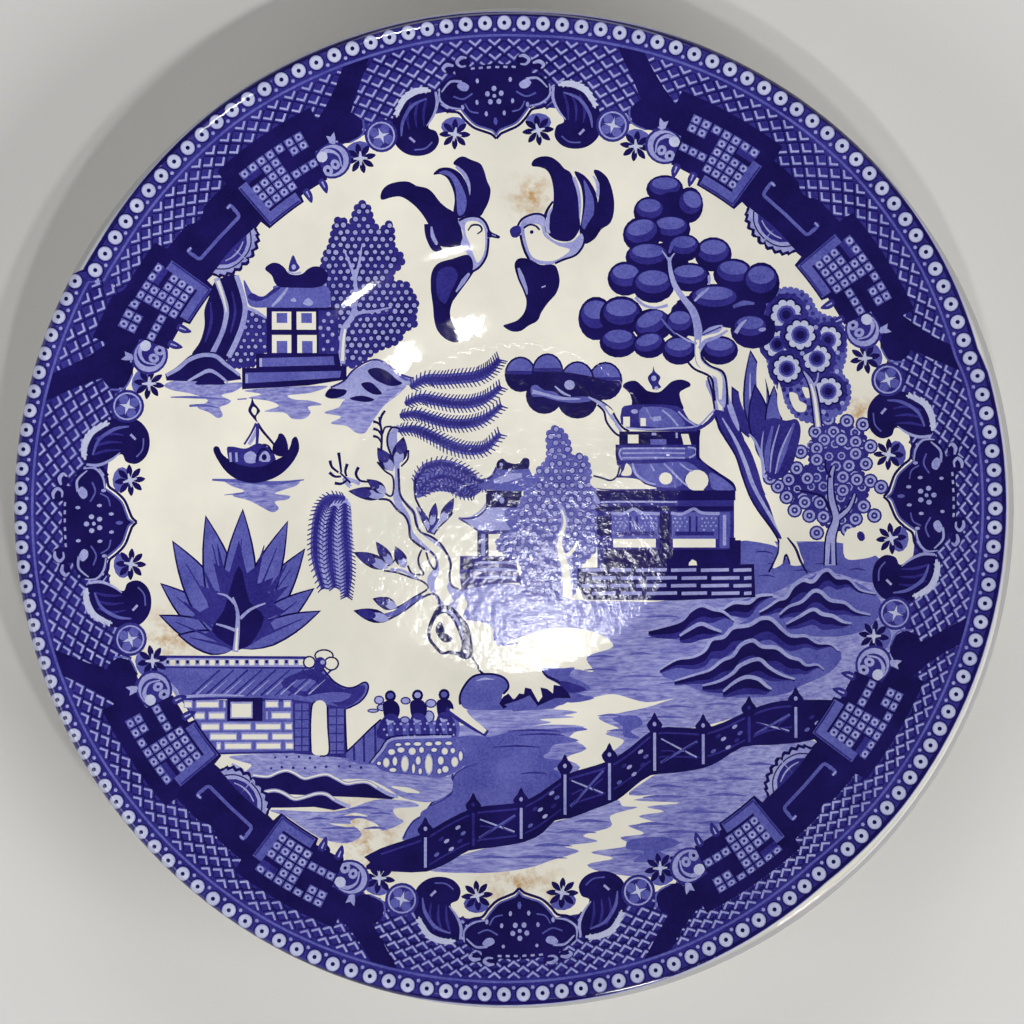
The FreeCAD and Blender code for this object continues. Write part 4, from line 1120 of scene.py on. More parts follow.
def tea_house_front():
    """The eaves, the lintel, the hangings and the posts."""
    box(NAVY, 12.4, 1.2, 33.4, 2.7)
    box(COBALT, 12.6, 0.2, 33.2, 1.2)
    stroke(SKY, [(13.2, 0.95), (18.0, 1.0), (24.6, 0.95)], 0.26)
    box(NAVY, 12.4, -0.5, 33.2, 0.3)
    stroke(SKY, [(12.2, 2.2), (12.5, 1.2), (13.0, 0.8)], [0.3, 0.8, 0.3])
    box(COBALT, 12.6, -9.0, 33.2, -0.4)
    for x in (14.8, 23.8):
        box(BLUE, x, -4.6, x + 7.0, -0.6)
        stroke(SKY, [
            (x - 0.1, -0.7), (x + 1.4, -0.9), (x + 2.4, -0.5), (x + 3.4, -0.1), (x + 4.6, -0.7),
            (x + 7.2, -0.8)], 0.45)
        box(COBALT, x + 2.6, -4.0, x + 2.9, -1.2)
        box(COBALT, x + 3.6, -4.0, x + 3.9, -1.2)
        box(COBALT, x + 0.5, -4.1, x + 6.4, -3.5)
        dots(SKY, [(x + 0.2, -3.3), (x + 2.4, -3.3), (x + 2.4, -1.3), (x + 0.2, -1.3)], 0.7, 0.17, 31)
        dots(SKY, [(x + 4.2, -3.3), (x + 6.8, -3.3), (x + 6.8, -1.3), (x + 4.2, -1.3)], 0.7, 0.17, 32)
        box(PAPER, x + 0.2, -5.9, x + 6.6, -4.6)
    box(NAVY, 12.5, -4.2, 14.6, -1.2)
    box(NAVY, 22.0, -6.4, 23.6, -0.8)
    box(BLUE, 31.0, -6.0, 32.6, -0.6)
    box(SKY, 31.5, -5.6, 32.0, -1.0)
    box(NAVY, 32.5, -8.8, 33.4, -4.4)
    box(NAVY, 13.6, -8.9, 33.0, -6.2)
    ink(PAPER, [(26.3, -9.4), (26.4, -8.2), (26.9, -7.7), (27.5, -8.0), (27.8, -9.4)])


def brick_terrace():
    """The terrace that the tea house stands on."""
    ink(NAVY, [(9.6, -9.0), (36.2, -8.4), (36.4, -13.4), (24.0, -13.9), (10.6, -13.8), (9.6, -11.4)])
    for row, y in enumerate((-9.35, -10.55, -11.7, -12.85)):
        x = 10.2 + (row % 2) * 1.6
        for brick in (3.6, 3.2, 4.6, 3.8, 4.2, 3.0, 3.2):
            end = min(x + brick, 35.8)
            if end - x > 0.8:
                ink(SKY, [(x, y + 0.26), (end, y + 0.34), (end, y - 0.16), (x, y - 0.24)])
            x += brick + 0.7
    ink(NAVY, [(34.2, -4.8), (33.2, -4.8), (33.2, -8.6), (34.2, -8.4)])


# ---------------------------------------------------------------- right and lower motifs
def outlined_leaf(tone, x0, y0, x1, y1, width, bend=0.0, line=0.28):
    """A leaf with a dark edge."""
    leaf(NAVY, x0, y0, x1, y1, width + 2 * line, bend)
    shrink = 1 - 1.6 * line / max(math.hypot(x1 - x0, y1 - y0), 0.1)
    leaf(tone, x0, y0, x0 + (x1 - x0) * shrink, y0 + (y1 - y0) * shrink, width, bend)


def leaf_plants():
    """The tall leaves between the tea house and the flower tree."""
    lump(COBALT, [
        (30.6, 12.6), (31.2, 14.4), (32.6, 14.0), (33.8, 12.4), (34.8, 10.0), (33.6, 9.4), (31.6, 10.8)], 3)
    for x, y in ((31.0, 13.6), (32.2, 13.0), (31.6, 12.0), (33.0, 11.6)):
        disc(SKY, x, y, 0.3, 0.25, count=7)
    outlined_leaf(COBALT, 35.4, 10.6, 32.8, 18.4, 2.6, -0.4)
    leaf(PAPER, 35.2, 14.0, 33.8, 20.4, 1.2)
    outlined_leaf(BLUE, 36.8, 10.4, 35.6, 23.9, 3.6, -0.3)
    stroke(SKY, [(36.0, 13.6), (35.6, 17.0), (35.6, 20.4)], [0.2, 0.3, 0.1])
    leaf(PAPER, 37.8, 14.6, 37.0, 23.8, 1.4, 0.2)
    outlined_leaf(COBALT, 37.6, 8.6, 36.3, 18.8, 3.0)
    outlined_leaf(BLUE, 39.4, 9.0, 39.2, 18.6, 2.2, 0.2)
    leaf(PAPER, 40.4, 13.6, 39.9, 19.0, 1.0)
    lump(COBALT, [
        (36.2, 11.4), (37.0, 12.8), (39.0, 13.6), (41.0, 13.2), (42.6, 13.4), (43.2, 11.6), (42.6, 8.6),
        (41.8, 6.2), (40.4, 4.6), (38.4, 4.6), (37.4, 7.0), (36.4, 8.8)], 3)
    stroke(BLUE, [(38.2, 5.6), (38.2, 8.6), (39.0, 12.4)], [0.4, 0.8, 0.3])
    stroke(BLUE, [(39.6, 5.4), (40.6, 8.6), (42.2, 12.8)], [0.4, 0.9, 0.3])
    for vein in (
            ((38.6, 5.4), (38.9, 8.6), (40.0, 12.6)), ((39.4, 5.2), (40.2, 8.6), (41.8, 12.2)),
            ((37.8, 6.0), (37.3, 8.6), (37.6, 11.6))):
        stroke(SKY, list(vein), [0.15, 0.32, 0.1])
    stroke(SKY, [(37.6, 4.6), (37.4, 7.4), (36.4, 10.0), (35.4, 11.2)], [0.4, 0.5, 0.4, 0.2])


def slanting_stem():
    """The big tree's lower stem, down to its white roots."""
    lump(SKY, [
        (28.9, 19.2), (29.8, 16.6), (30.4, 14.2), (32.4, 11.4), (34.0, 11.8), (33.2, 14.8), (32.4, 17.0),
        (31.4, 19.6)], 3)
    stroke(COBALT, [(31.8, 17.0), (32.0, 14.6), (33.0, 12.0)], [0.2, 0.7, 0.9])
    stroke(PAPER, [(30.4, 18.6), (31.0, 16.4), (31.2, 14.0)], [0.7, 0.9, 0.3])
    stroke(NAVY, [(29.2, 19.8), (29.9, 17.4), (30.3, 14.6)], 0.3)
    lump(COBALT, [
        (30.0, 14.6), (31.3, 11.3), (33.3, 8.0), (34.3, 5.0), (35.4, 2.0), (36.7, -0.3), (38.6, -2.8),
        (40.2, -4.8), (41.4, -4.6), (40.2, -2.4), (38.8, 0.4), (37.6, 2.8), (36.8, 5.6), (35.6, 8.8),
        (33.6, 12.0), (32.0, 14.4)], 3)
    stroke(SKY, [
        (31.4, 13.6), (33.4, 10.2), (34.8, 7.0), (36.0, 3.6), (37.6, 0.6), (39.4, -2.4), (40.6, -4.4)],
        [0.2, 0.5, 0.6, 0.6, 0.5, 0.5, 0.3])
    stroke(NAVY, [
        (30.3, 14.2), (31.4, 11.3), (33.4, 8.0), (34.4, 5.0), (35.5, 2.0), (36.8, -0.3), (38.7, -2.9),
        (39.9, -5.0), (39.7, -7.0), (38.4, -9.6)], 0.3)
    stroke(PAPER, [(37.9, 2.0), (38.8, 0.4), (39.9, -2.4), (41.3, -5.0)], [0.2, 0.5, 0.8, 1.3])
    lump(PAPER, [
        (40.2, -4.6), (39.9, -6.8), (39.0, -9.0), (40.4, -8.4), (41.0, -7.4), (41.8, -8.6), (43.6, -8.4),
        (43.2, -7.0), (42.6, -5.2), (41.9, -4.4)], 3)
    stroke(NAVY, [(41.2, -4.4), (42.4, -6.0), (43.2, -8.0), (44.2, -9.8)], [0.24, 0.4, 0.4, 0.2])
    stroke(NAVY, [(40.6, -8.2), (41.0, -7.0), (41.6, -8.4)], [0.2, 0.4, 0.2])


def blossom(x, y, radius, turn=0.0):
    """A round flower with a pale scalloped ring of petals and a dark heart."""
    for tone, spread, size in ((NAVY, 0.78, 0.36), (MIST, 0.72, 0.28)):
        for petal in range(9):
            angle = turn + petal * math.tau / 9
            disc(tone, x + radius * spread * math.cos(angle), y + radius * spread * math.sin(angle),
                 radius * size, count=9)
        disc(tone, x, y, radius * spread, count=14)
    for tone, size in ((BLUE, 0.62), (COBALT, 0.48), (NAVY, 0.28)):
        disc(tone, x, y, radius * size, count=12)


def flower_tree():
    """The tree with the round flowers, at the right."""
    ground = smooth([
        (36.8, 30.0), (37.6, 31.2), (39.0, 32.2), (41.0, 32.9), (43.2, 32.4), (44.5, 31.2), (45.3, 29.6),
        (47.0, 28.6), (48.8, 28.1), (49.6, 25.6), (49.6, 22.6), (49.0, 20.4), (50.2, 18.6), (50.2, 16.2),
        (49.2, 14.6), (46.8, 13.6), (44.4, 13.2), (42.2, 14.4), (40.4, 17.6), (38.8, 20.4), (38.2, 24.0),
        (37.0, 27.0)], True, 3)
    bumpy(BLUE, ground, 0.5)
    dots(COBALT, ground, 1.1, 0.36, 41)
    for x, y, radius in (
            (41.0, 29.1, 2.5), (47.2, 25.3, 2.2), (39.7, 24.7, 2.2), (45.6, 22.5, 2.2), (41.1, 21.0, 2.2),
            (47.3, 17.6, 2.2), (43.1, 26.1, 2.4)):
        disc(COBALT, x, y, radius * 1.3)
        blossom(x, y, radius * 0.94, x)
    lump(PAPER, [
        (41.5, 17.4), (42.6, 17.2), (43.0, 16.2), (44.0, 15.6), (43.8, 14.6), (42.6, 14.6), (41.8, 15.8)])
    lump(PAPER, [(43.4, 18.2), (44.4, 18.0), (44.6, 16.8), (44.0, 16.6), (43.6, 17.4)])
    trunk = [(43.6, 20.6), (44.7, 18.9), (45.3, 16.4), (45.8, 12.2)]
    stroke(NAVY, trunk, [0.6, 1.2, 1.4, 1.4])
    stroke(SKY, trunk, [0.2, 0.7, 0.8, 0.9])
    stroke(PAPER, [(44.7, 18.7), (45.3, 16.4), (45.8, 12.3)], [0.2, 0.4, 0.5])
    stroke(SKY, [(45.0, 18.3), (45.6, 19.2), (45.8, 20.4)], [0.6, 0.3, 0.2])
    for x, y in (
            (48.6, 20.6), (48.7, 23.4), (49.4, 15.8), (46.6, 14.5), (43.4, 23.3), (45.4, 27.2),
            (44.2, 30.2)):
        disc(SKY, x, y, 0.36, count=7)


# Middles of the ring-shaped leaves of the tree at the far right.
CURLS = (
    (47.3, 13.4), (50.1, 13.1), (52.5, 12.6), (45.4, 11.5), (48.1, 11.5), (46.7, 10.3), (49.3, 10.3),
    (51.4, 10.0), (53.6, 9.3), (43.2, 8.5), (45.6, 9.0), (45.6, 7.3), (51.4, 8.2), (52.9, 6.7), (50.4, 6.4),
    (42.6, 6.0), (41.4, 4.3), (44.2, 4.5), (49.5, 4.7), (51.6, 4.3), (53.6, 4.1), (55.2, 3.2), (49.5, 2.7),
    (41.1, 1.7), (43.8, 0.9), (46.1, 0.8), (42.3, -0.3), (44.5, -1.1), (46.6, -1.3), (52.6, 0.3),
    (54.2, -1.1), (51.4, -1.6), (50.2, -3.2), (45.6, -3.7), (39.8, 3.3), (38.6, 4.6))


def curly_tree():
    """A tree whose leaves are rings, at the far right."""
    core = smooth([
        (46.6, 12.0), (49.4, 12.4), (52.4, 11.2), (53.0, 8.4), (51.8, 6.0), (53.2, 3.6), (52.2, 0.0),
        (50.6, -3.4), (49.0, -3.0), (46.4, -2.2), (45.2, 0.2), (42.0, 0.6), (40.8, 3.2), (42.6, 5.6),
        (44.8, 6.4), (44.6, 9.4)], True, 2)
    bumpy(COBALT, core, 0.5)
    for tone, size in ((SKY, 0.74), (COBALT, 0.48), (BLUE, 0.2)):
        dots(tone, core, 1.9, size, 43)
    for x, y in CURLS:
        for tone, size in ((COBALT, 1.14), (SKY, 0.86), (COBALT, 0.5), (SKY, 0.2)):
            disc(tone, x, y, size, count=12 if size > 0.3 else 6)
    for tone, more in ((NAVY, 0.5), (SKY, 0.0)):
        stroke(tone, [
            (47.6, -8.6), (47.7, -4.4), (48.5, -1.6), (47.8, 1.4), (47.7, 4.5), (48.2, 6.4)],
            [1.6 + more, 1.3 + more, 0.9 + more, 0.8 + more, 0.6 + more, 0.3 + more])
        stroke(tone, [(48.6, -1.6), (50.4, 0.0), (51.3, 2.2)], [0.7 + more, 0.5 + more, 0.2 + more])
    stroke(NAVY, [(47.6, -0.4), (46.6, 1.6), (44.8, 2.3), (42.4, 2.8)], [0.5, 0.4, 0.35, 0.2])
    stroke(NAVY, [(47.7, 4.6), (46.9, 6.0), (46.9, 7.4)], [0.4, 0.3, 0.2])
    stroke(COBALT, [(47.6, -8.4), (47.7, -5.2)], [0.4, 0.1])
    lump(PAPER, [
        (49.8, -3.8), (51.2, -2.9), (52.6, -3.2), (53.2, -5.0), (54.6, -6.8), (52.4, -7.6), (49.8, -7.4)])
    disc(COBALT, 52.2, -4.2, 0.6, 0.8, 20, 8)


def right_sky_and_ground():
    """The white gap beside the tea house and the ground under the trees on the right."""
    lump(PAPER, [(33.4, 3.0), (36.4, -1.2), (38.6, -4.0), (39.6, -6.0), (36.8, -5.6), (33.5, -4.8)], 3)
    lump(BLUE, [
        (33.6, -5.0), (38.4, -5.4), (40.4, -6.0), (44.0, -5.0), (50.4, -5.4), (55.0, -7.6), (55.0, -11.4),
        (46.0, -9.4), (40.4, -12.2), (36.4, -13.0), (33.8, -8.4)], 3)
    for x, y in ((36.4, -6.6), (38.2, -8.4), (36.8, -10.2), (42.2, -9.4), (45.4, -8.4), (50.4, -9.2)):
        stroke(COBALT, [(x, y), (x + 1.4, y + 0.1), (x + 2.6, y - 0.2)], [0.1, 0.24, 0.1])


def crag(crest, depth, light=0.6):
    """One fold of rock: a light crest with shade under it that softens downward."""
    line = smooth(crest, False, 3)
    for tone, reach in ((COBALT, 1.75), (NAVY, 1.0)):
        lower = [(x, y - depth * reach * math.sin(math.pi * min(1.0, (place + 1) / len(line) * 1.06)) - 0.35)
                 for place, (x, y) in enumerate(line)]
        ink(tone, line + lower[::-1])
    swell = [math.sin(math.pi * (place + 0.5) / len(crest)) for place in range(len(crest))]
    stroke(SKY, crest, [light * (0.35 + 0.65 * part) for part in swell])


def rocks():
    """The folded rocks below the tea house: plain bodies, then each fold's depth and crest."""
    folds = (
        (1.5, [
            (37.0, -15.6), (38.4, -14.8), (39.8, -13.8), (41.0, -13.4), (42.0, -11.8), (43.5, -10.8),
            (45.0, -11.0), (46.3, -9.6), (47.4, -9.3), (48.6, -10.4), (50.4, -10.6), (52.0, -12.2),
            (54.4, -12.8)]),
        (1.1, [(31.5, -15.2), (33.2, -14.2), (35.4, -14.2), (36.8, -13.2), (39.0, -13.0)]),
        (1.5, [
            (20.3, -18.4), (22.5, -17.8), (25.2, -16.9), (26.6, -15.4), (28.3, -14.6), (30.0, -15.2),
            (31.6, -15.6), (33.2, -16.9)]),
        (1.4, [
            (40.0, -16.0), (41.4, -14.8), (43.4, -14.0), (45.0, -12.5), (46.2, -12.6), (47.6, -13.8),
            (49.8, -14.2), (51.4, -15.4), (53.6, -16.0)]),
        (1.2, [(25.0, -19.2), (26.5, -18.2), (28.2, -17.4), (29.8, -18.0), (31.3, -18.6)]),
        (1.2, [
            (41.0, -17.4), (42.8, -16.4), (45.0, -15.2), (46.4, -15.9), (48.0, -16.2), (49.4, -17.0),
            (50.8, -17.3)]),
        (1.8, [
            (22.0, -24.3), (24.5, -22.8), (27.0, -22.4), (28.8, -21.4), (29.8, -19.8), (31.6, -19.4),
            (33.0, -18.0), (35.4, -17.6), (37.2, -16.6), (38.8, -16.7), (40.4, -18.2), (41.8, -19.2),
            (44.0, -19.2), (45.6, -20.2), (47.6, -20.4), (48.8, -21.4)]),
        (1.9, [
            (24.2, -26.0), (27.5, -25.0), (29.6, -24.3), (31.4, -22.9), (33.0, -22.2), (34.2, -20.6),
            (36.0, -19.9), (37.4, -20.8), (39.6, -21.0), (41.4, -22.3), (43.0, -22.8), (44.0, -23.6),
            (45.6, -23.5), (46.6, -24.2)]),
        (1.5, [
            (28.4, -26.7), (31.0, -26.0), (33.0, -24.8), (34.2, -23.6), (36.8, -22.7), (38.4, -23.9),
            (40.2, -25.0), (42.3, -25.7)]),
        (1.3, [(31.5, -27.6), (33.2, -26.2), (35.0, -25.4), (36.8, -25.7), (38.0, -26.7), (38.8, -27.2)]))
    for body in (
            [
                (20.3, -18.6), (25.2, -16.9), (28.3, -14.6), (31.6, -15.6), (33.2, -16.9), (31.6, -19.0),
                (26.0, -20.0)],
            [
                (31.5, -15.4), (36.8, -13.2), (41.0, -13.4), (46.3, -9.6), (54.4, -12.8), (54.6, -16.6),
                (50.8, -19.0), (44.0, -19.2), (38.0, -17.6)],
            [
                (22.0, -24.6), (28.8, -21.4), (33.0, -18.0), (37.2, -16.6), (44.0, -19.2), (49.2, -21.6),
                (47.6, -24.6), (43.4, -26.6), (39.6, -28.2), (31.0, -28.4), (26.0, -26.6)]):
        lump(BLUE, body, 3)
    for depth, crest in folds:
        crag(crest, depth)


def root_mound():
    """The mound at the willow's foot and the clawed bank beside it."""
    lump(BLUE, [
        (-8.0, -28.4), (-7.4, -26.6), (-6.2, -25.4), (-4.6, -25.0), (-2.6, -25.1), (-1.3, -25.8),
        (-0.8, -27.0), (-1.6, -27.8), (-1.6, -29.0), (0.8, -28.6), (3.6, -29.4), (5.0, -28.0), (9.0, -28.0),
        (7.4, -29.6), (3.0, -30.2), (-2.0, -30.4), (-6.4, -30.4), (-7.8, -29.8)], 3)
    lump(BLUE, [
        (4.2, -24.2), (6.8, -24.2), (9.2, -24.0), (8.4, -25.2), (10.6, -26.3), (11.6, -27.3), (9.6, -27.9),
        (12.2, -28.6), (8.6, -29.3), (6.0, -28.4), (7.2, -26.8), (5.0, -25.6)], 3)
    stroke(NAVY, [(4.2, -24.3), (5.0, -25.3), (6.6, -26.1), (8.0, -27.4)], [0.2, 0.4, 0.4, 0.3])
    lump(COBALT, [(7.0, -26.0), (9.6, -26.6), (11.0, -27.4), (8.8, -27.8), (7.4, -27.4)], 2)
    stroke(NAVY, [
        (-8.1, -29.6), (-8.1, -28.2), (-7.4, -26.7), (-6.2, -25.4), (-4.6, -25.0), (-2.6, -25.1),
        (-1.2, -25.8), (-0.8, -27.0), (-1.6, -28.0)], 0.34)
    claws = [
        (-2.2, -29.4), (-1.6, -28.4), (-0.8, -27.9), (0.0, -28.9), (0.8, -27.9), (1.5, -28.0), (1.7, -27.0),
        (2.6, -27.2), (3.2, -28.3), (3.7, -29.2), (4.3, -28.4), (4.0, -27.0), (5.0, -27.2), (5.9, -27.9),
        (6.0, -26.6), (7.2, -26.8), (8.2, -27.8)]
    ink(NAVY, claws + [
        (8.6, -28.6), (6.2, -28.6), (4.8, -29.4), (3.6, -30.0), (2.2, -29.2), (0.6, -29.4), (-1.6, -30.2)])
    ink(BLUE, [
        (-1.4, -29.6), (0.8, -28.9), (2.4, -28.2), (3.6, -29.8), (6.0, -28.7), (8.2, -28.8), (6.0, -30.2),
        (0.0, -30.6)])
    stroke(NAVY, [(-6.3, -22.4), (-5.5, -23.6), (-5.2, -24.4), (-4.4, -25.1)], 0.34)
    stroke(SKY, [(-5.6, -26.0), (-4.4, -25.7), (-3.0, -25.8)], [0.1, 0.4, 0.1])


def star_plant():
    """The pointed leaves at the left, darker in the heart of the plant."""
    base_x, base_y = -41.8, -21.0
    reach = 0.78
    tips = (
        (-53.2, -11.2, 4.2), (-53.4, -16.0, 3.6), (-50.6, -19.0, 3.2), (-31.4, -6.0, 4.6),
        (-30.0, -12.0, 4.0), (-29.0, -15.4, 3.4), (-51.4, -4.8, 5.0), (-34.0, -1.8, 4.4),
        (-46.4, -1.0, 4.8), (-40.8, 0.0, 5.0))
    for x, y, width in tips:
        outlined_leaf(BLUE, base_x, base_y, x, y, width, 0.0, 0.3)
    for x, y, _ in tips:
        stroke(COBALT, [
            (base_x, base_y),
            (base_x + (x - base_x) * reach, base_y + (y - base_y) * reach)],
            [0.6, 0.15])
    ink(COBALT, [
        (-42.0, -21.6), (-46.6, -19.0), (-44.6, -17.8), (-48.6, -16.4), (-45.4, -14.6), (-47.2, -11.6),
        (-44.2, -12.6), (-45.2, -8.2), (-42.8, -9.6), (-41.4, -4.8), (-40.2, -9.8), (-38.6, -8.6),
        (-38.6, -11.4), (-36.2, -10.4), (-37.0, -12.8), (-33.8, -11.6), (-36.2, -14.4), (-34.4, -15.6),
        (-37.0, -16.6), (-36.0, -18.4), (-40.0, -20.8)])
    for x, y in ((-46.6, -9.4), (-44.6, -5.4), (-37.6, -5.6), (-49.6, -14.0), (-34.2, -8.4)):
        stroke(COBALT, [((base_x + 2 * x) / 3, (base_y + 2 * y) / 3), (x, y)], [0.9, 0.15])
    lump(NAVY, [
        (-42.0, -21.0), (-45.4, -18.4), (-43.6, -15.2), (-41.4, -8.6), (-39.8, -14.0), (-37.6, -16.4),
        (-39.6, -20.4)], 3)
    stroke(SKY, [(-41.9, -21.6), (-41.6, -18.2), (-41.6, -15.6), (-42.3, -13.4)], [0.9, 0.7, 0.5, 0.25])
    stroke(SKY, [(-41.2, -16.6), (-39.6, -15.2), (-37.4, -14.3)], [0.5, 0.4, 0.2])
    stroke(SKY, [(-41.8, -18.4), (-43.4, -17.8), (-44.8, -17.4)], [0.5, 0.4, 0.2])
    stroke(SKY, [(-42.0, -14.4), (-43.2, -13.2), (-44.6, -12.8)], [0.4, 0.35, 0.15])
    stroke(PAPER, [(-41.8, -21.4), (-41.6, -18.0)], [0.4, 0.2])


def brick_house_roof():
    """The tiled roof with its upturned end."""
    lump(BLUE, [
        (-54.0, -23.9), (-46.0, -23.9), (-38.0, -24.0), (-31.0, -24.0), (-29.6, -23.2), (-28.2, -24.6),
        (-27.0, -26.0), (-25.2, -26.9), (-23.6, -26.8), (-22.4, -26.2), (-21.9, -26.9), (-22.4, -28.3),
        (-23.6, -29.4), (-25.2, -30.3), (-28.0, -29.8), (-33.0, -29.0), (-41.0, -28.7), (-49.0, -28.8),
        (-50.6, -27.2), (-52.4, -25.4)], 3)
    lump(COBALT, [
        (-35.0, -26.0), (-30.6, -24.2), (-28.6, -25.0), (-25.6, -27.2), (-22.6, -26.6), (-22.8, -28.2),
        (-25.4, -30.0), (-28.6, -28.8), (-33.0, -28.0)], 3)
    lump(BLUE, [(-33.6, -26.4), (-31.0, -25.6), (-29.4, -26.6), (-31.6, -27.6)], 2)
    lump(BLUE, [(-31.4, -28.4), (-27.6, -27.7), (-24.4, -28.0), (-26.2, -29.2), (-30.0, -29.0)], 2)
    for step in range(9):
        x = -48.6 + 2.1 * step
        stroke(COBALT, [(x, -28.2), (x + 4.4, -24.3)], [0.34, 0.2] if step % 2 else [0.2, 0.3])
        stroke(SKY, [(x + 0.9, -28.0), (x + 3.4, -25.8)], [0.22, 0.06])
    stroke(SKY, [(-52.6, -25.4), (-50.9, -27.4), (-50.0, -29.2)], 0.6)
    stroke(SKY, [(-49.4, -28.3), (-45.0, -28.1), (-40.6, -28.2)], [0.4, 0.4, 0.2])
    stroke(COBALT, [(-50.0, -28.7), (-42.0, -28.6), (-33.2, -28.9)], 0.3)
    stroke(NAVY, [
        (-29.2, -23.4), (-27.8, -25.4), (-26.0, -26.8), (-24.2, -27.0), (-22.5, -26.2), (-21.9, -26.8),
        (-22.3, -28.2), (-23.5, -29.4), (-25.3, -30.2)], 0.26)


def ridge_row():
    """The ridge with its dark squares, and the scroll at its end."""
    ink(COBALT, [(-54.0, -22.1), (-31.2, -22.3), (-31.2, -24.2), (-54.0, -24.0)])
    ink(SKY, [(-54.0, -22.5), (-31.4, -22.7), (-31.4, -23.9), (-54.0, -23.7)])
    for step in range(14):
        x = -52.0 + 1.48 * step
        box(PAPER, x + 0.35, -23.6, x + 1.1, -22.8)
        box(NAVY, x - 0.22, -23.35, x + 0.2, -22.85)
    for x, y, rx, ry in ((-28.6, -22.2, 1.5, 1.0), (-27.5, -23.4, 1.2, 1.1), (-30.8, -23.2, 1.0, 1.0)):
        disc(NAVY, x, y, rx, ry, 0, 14)
        disc(PAPER, x, y, rx - 0.25, ry - 0.25, 0, 12)
    lump(COBALT, [
        (-29.9, -24.6), (-30.0, -22.9), (-29.0, -22.4), (-28.2, -23.2), (-28.6, -24.2), (-29.0, -24.8)], 3)
    disc(SKY, -28.8, -23.2, 0.35, 0.35, 0, 8)


def brick_wall():
    """The wall of pale bricks with its window."""
    ink(COBALT, [(-50.0, -28.8), (-33.0, -28.9), (-32.8, -36.8), (-44.6, -37.0)])
    ink(BLUE, [(-49.6, -29.0), (-33.3, -29.1), (-33.1, -36.5), (-44.6, -36.7)])
    bricks = (
        (-29.45, ((-49.6, -48.3), (-47.8, -44.3), (-43.7, -43.3), (-37.4, -35.4), (-34.7, -33.5))),
        (-31.15, ((-48.0, -46.4), (-45.9, -43.4), (-37.3, -37.0), (-36.5, -33.5))),
        (-32.8, ((-47.0, -44.2), (-43.7, -39.5), (-38.9, -35.0), (-34.5, -33.3))),
        (-34.3, ((-45.7, -41.6), (-41.0, -36.9), (-36.4, -33.2))),
        (-35.7, ((-44.7, -44.0), (-43.5, -39.4), (-38.8, -35.0), (-34.4, -33.1))))
    for y, row in bricks:
        for x0, x1 in row:
            box(SKY, x0, y - 0.58, x1, y + 0.58)
            box(PAPER, x0 + 0.15, y - 0.42, x1 - 0.15, y + 0.3)
    box(NAVY, -43.1, -32.0, -37.8, -28.5)
    box(SKY, -42.6, -31.6, -39.3, -29.1)
    box(PAPER, -42.4, -31.4, -39.5, -29.4)


def doorway():
    """The side wall and the doorway."""
    ink(COBALT, [(-33.2, -28.8), (-25.3, -30.0), (-25.0, -37.6), (-33.0, -36.9)])
    for x0, y0, x1, y1 in ((-32.9, -36.5, -30.9, -29.4), (-27.8, -36.9, -25.6, -30.2)):
        box(BLUE, x0, y0, x1, y1)
        for step in range(5):
            stroke(COBALT, [(x0, y1 - 1.1 - 1.3 * step), (x1, y1 - 1.1 - 1.3 * step)], 0.2)
        stroke(COBALT, [((x0 + x1) / 2, y0), ((x0 + x1) / 2, y1)], 0.2)
    stroke(NAVY, [(-25.4, -30.3), (-25.4, -33.4), (-25.1, -36.9)], 0.3)
    lump(PAPER, [
        (-30.4, -36.6), (-30.5, -33.0), (-30.3, -29.8), (-29.2, -28.9), (-28.2, -29.8), (-28.1, -33.0),
        (-27.9, -36.6), (-29.0, -37.2)])
    stroke(NAVY, [(-30.5, -36.6), (-30.6, -33.0), (-30.4, -29.8), (-29.9, -29.1)], 0.24)
    stroke(NAVY, [(-28.1, -29.8), (-28.0, -33.0), (-27.8, -36.8), (-29.2, -37.3)], 0.24)


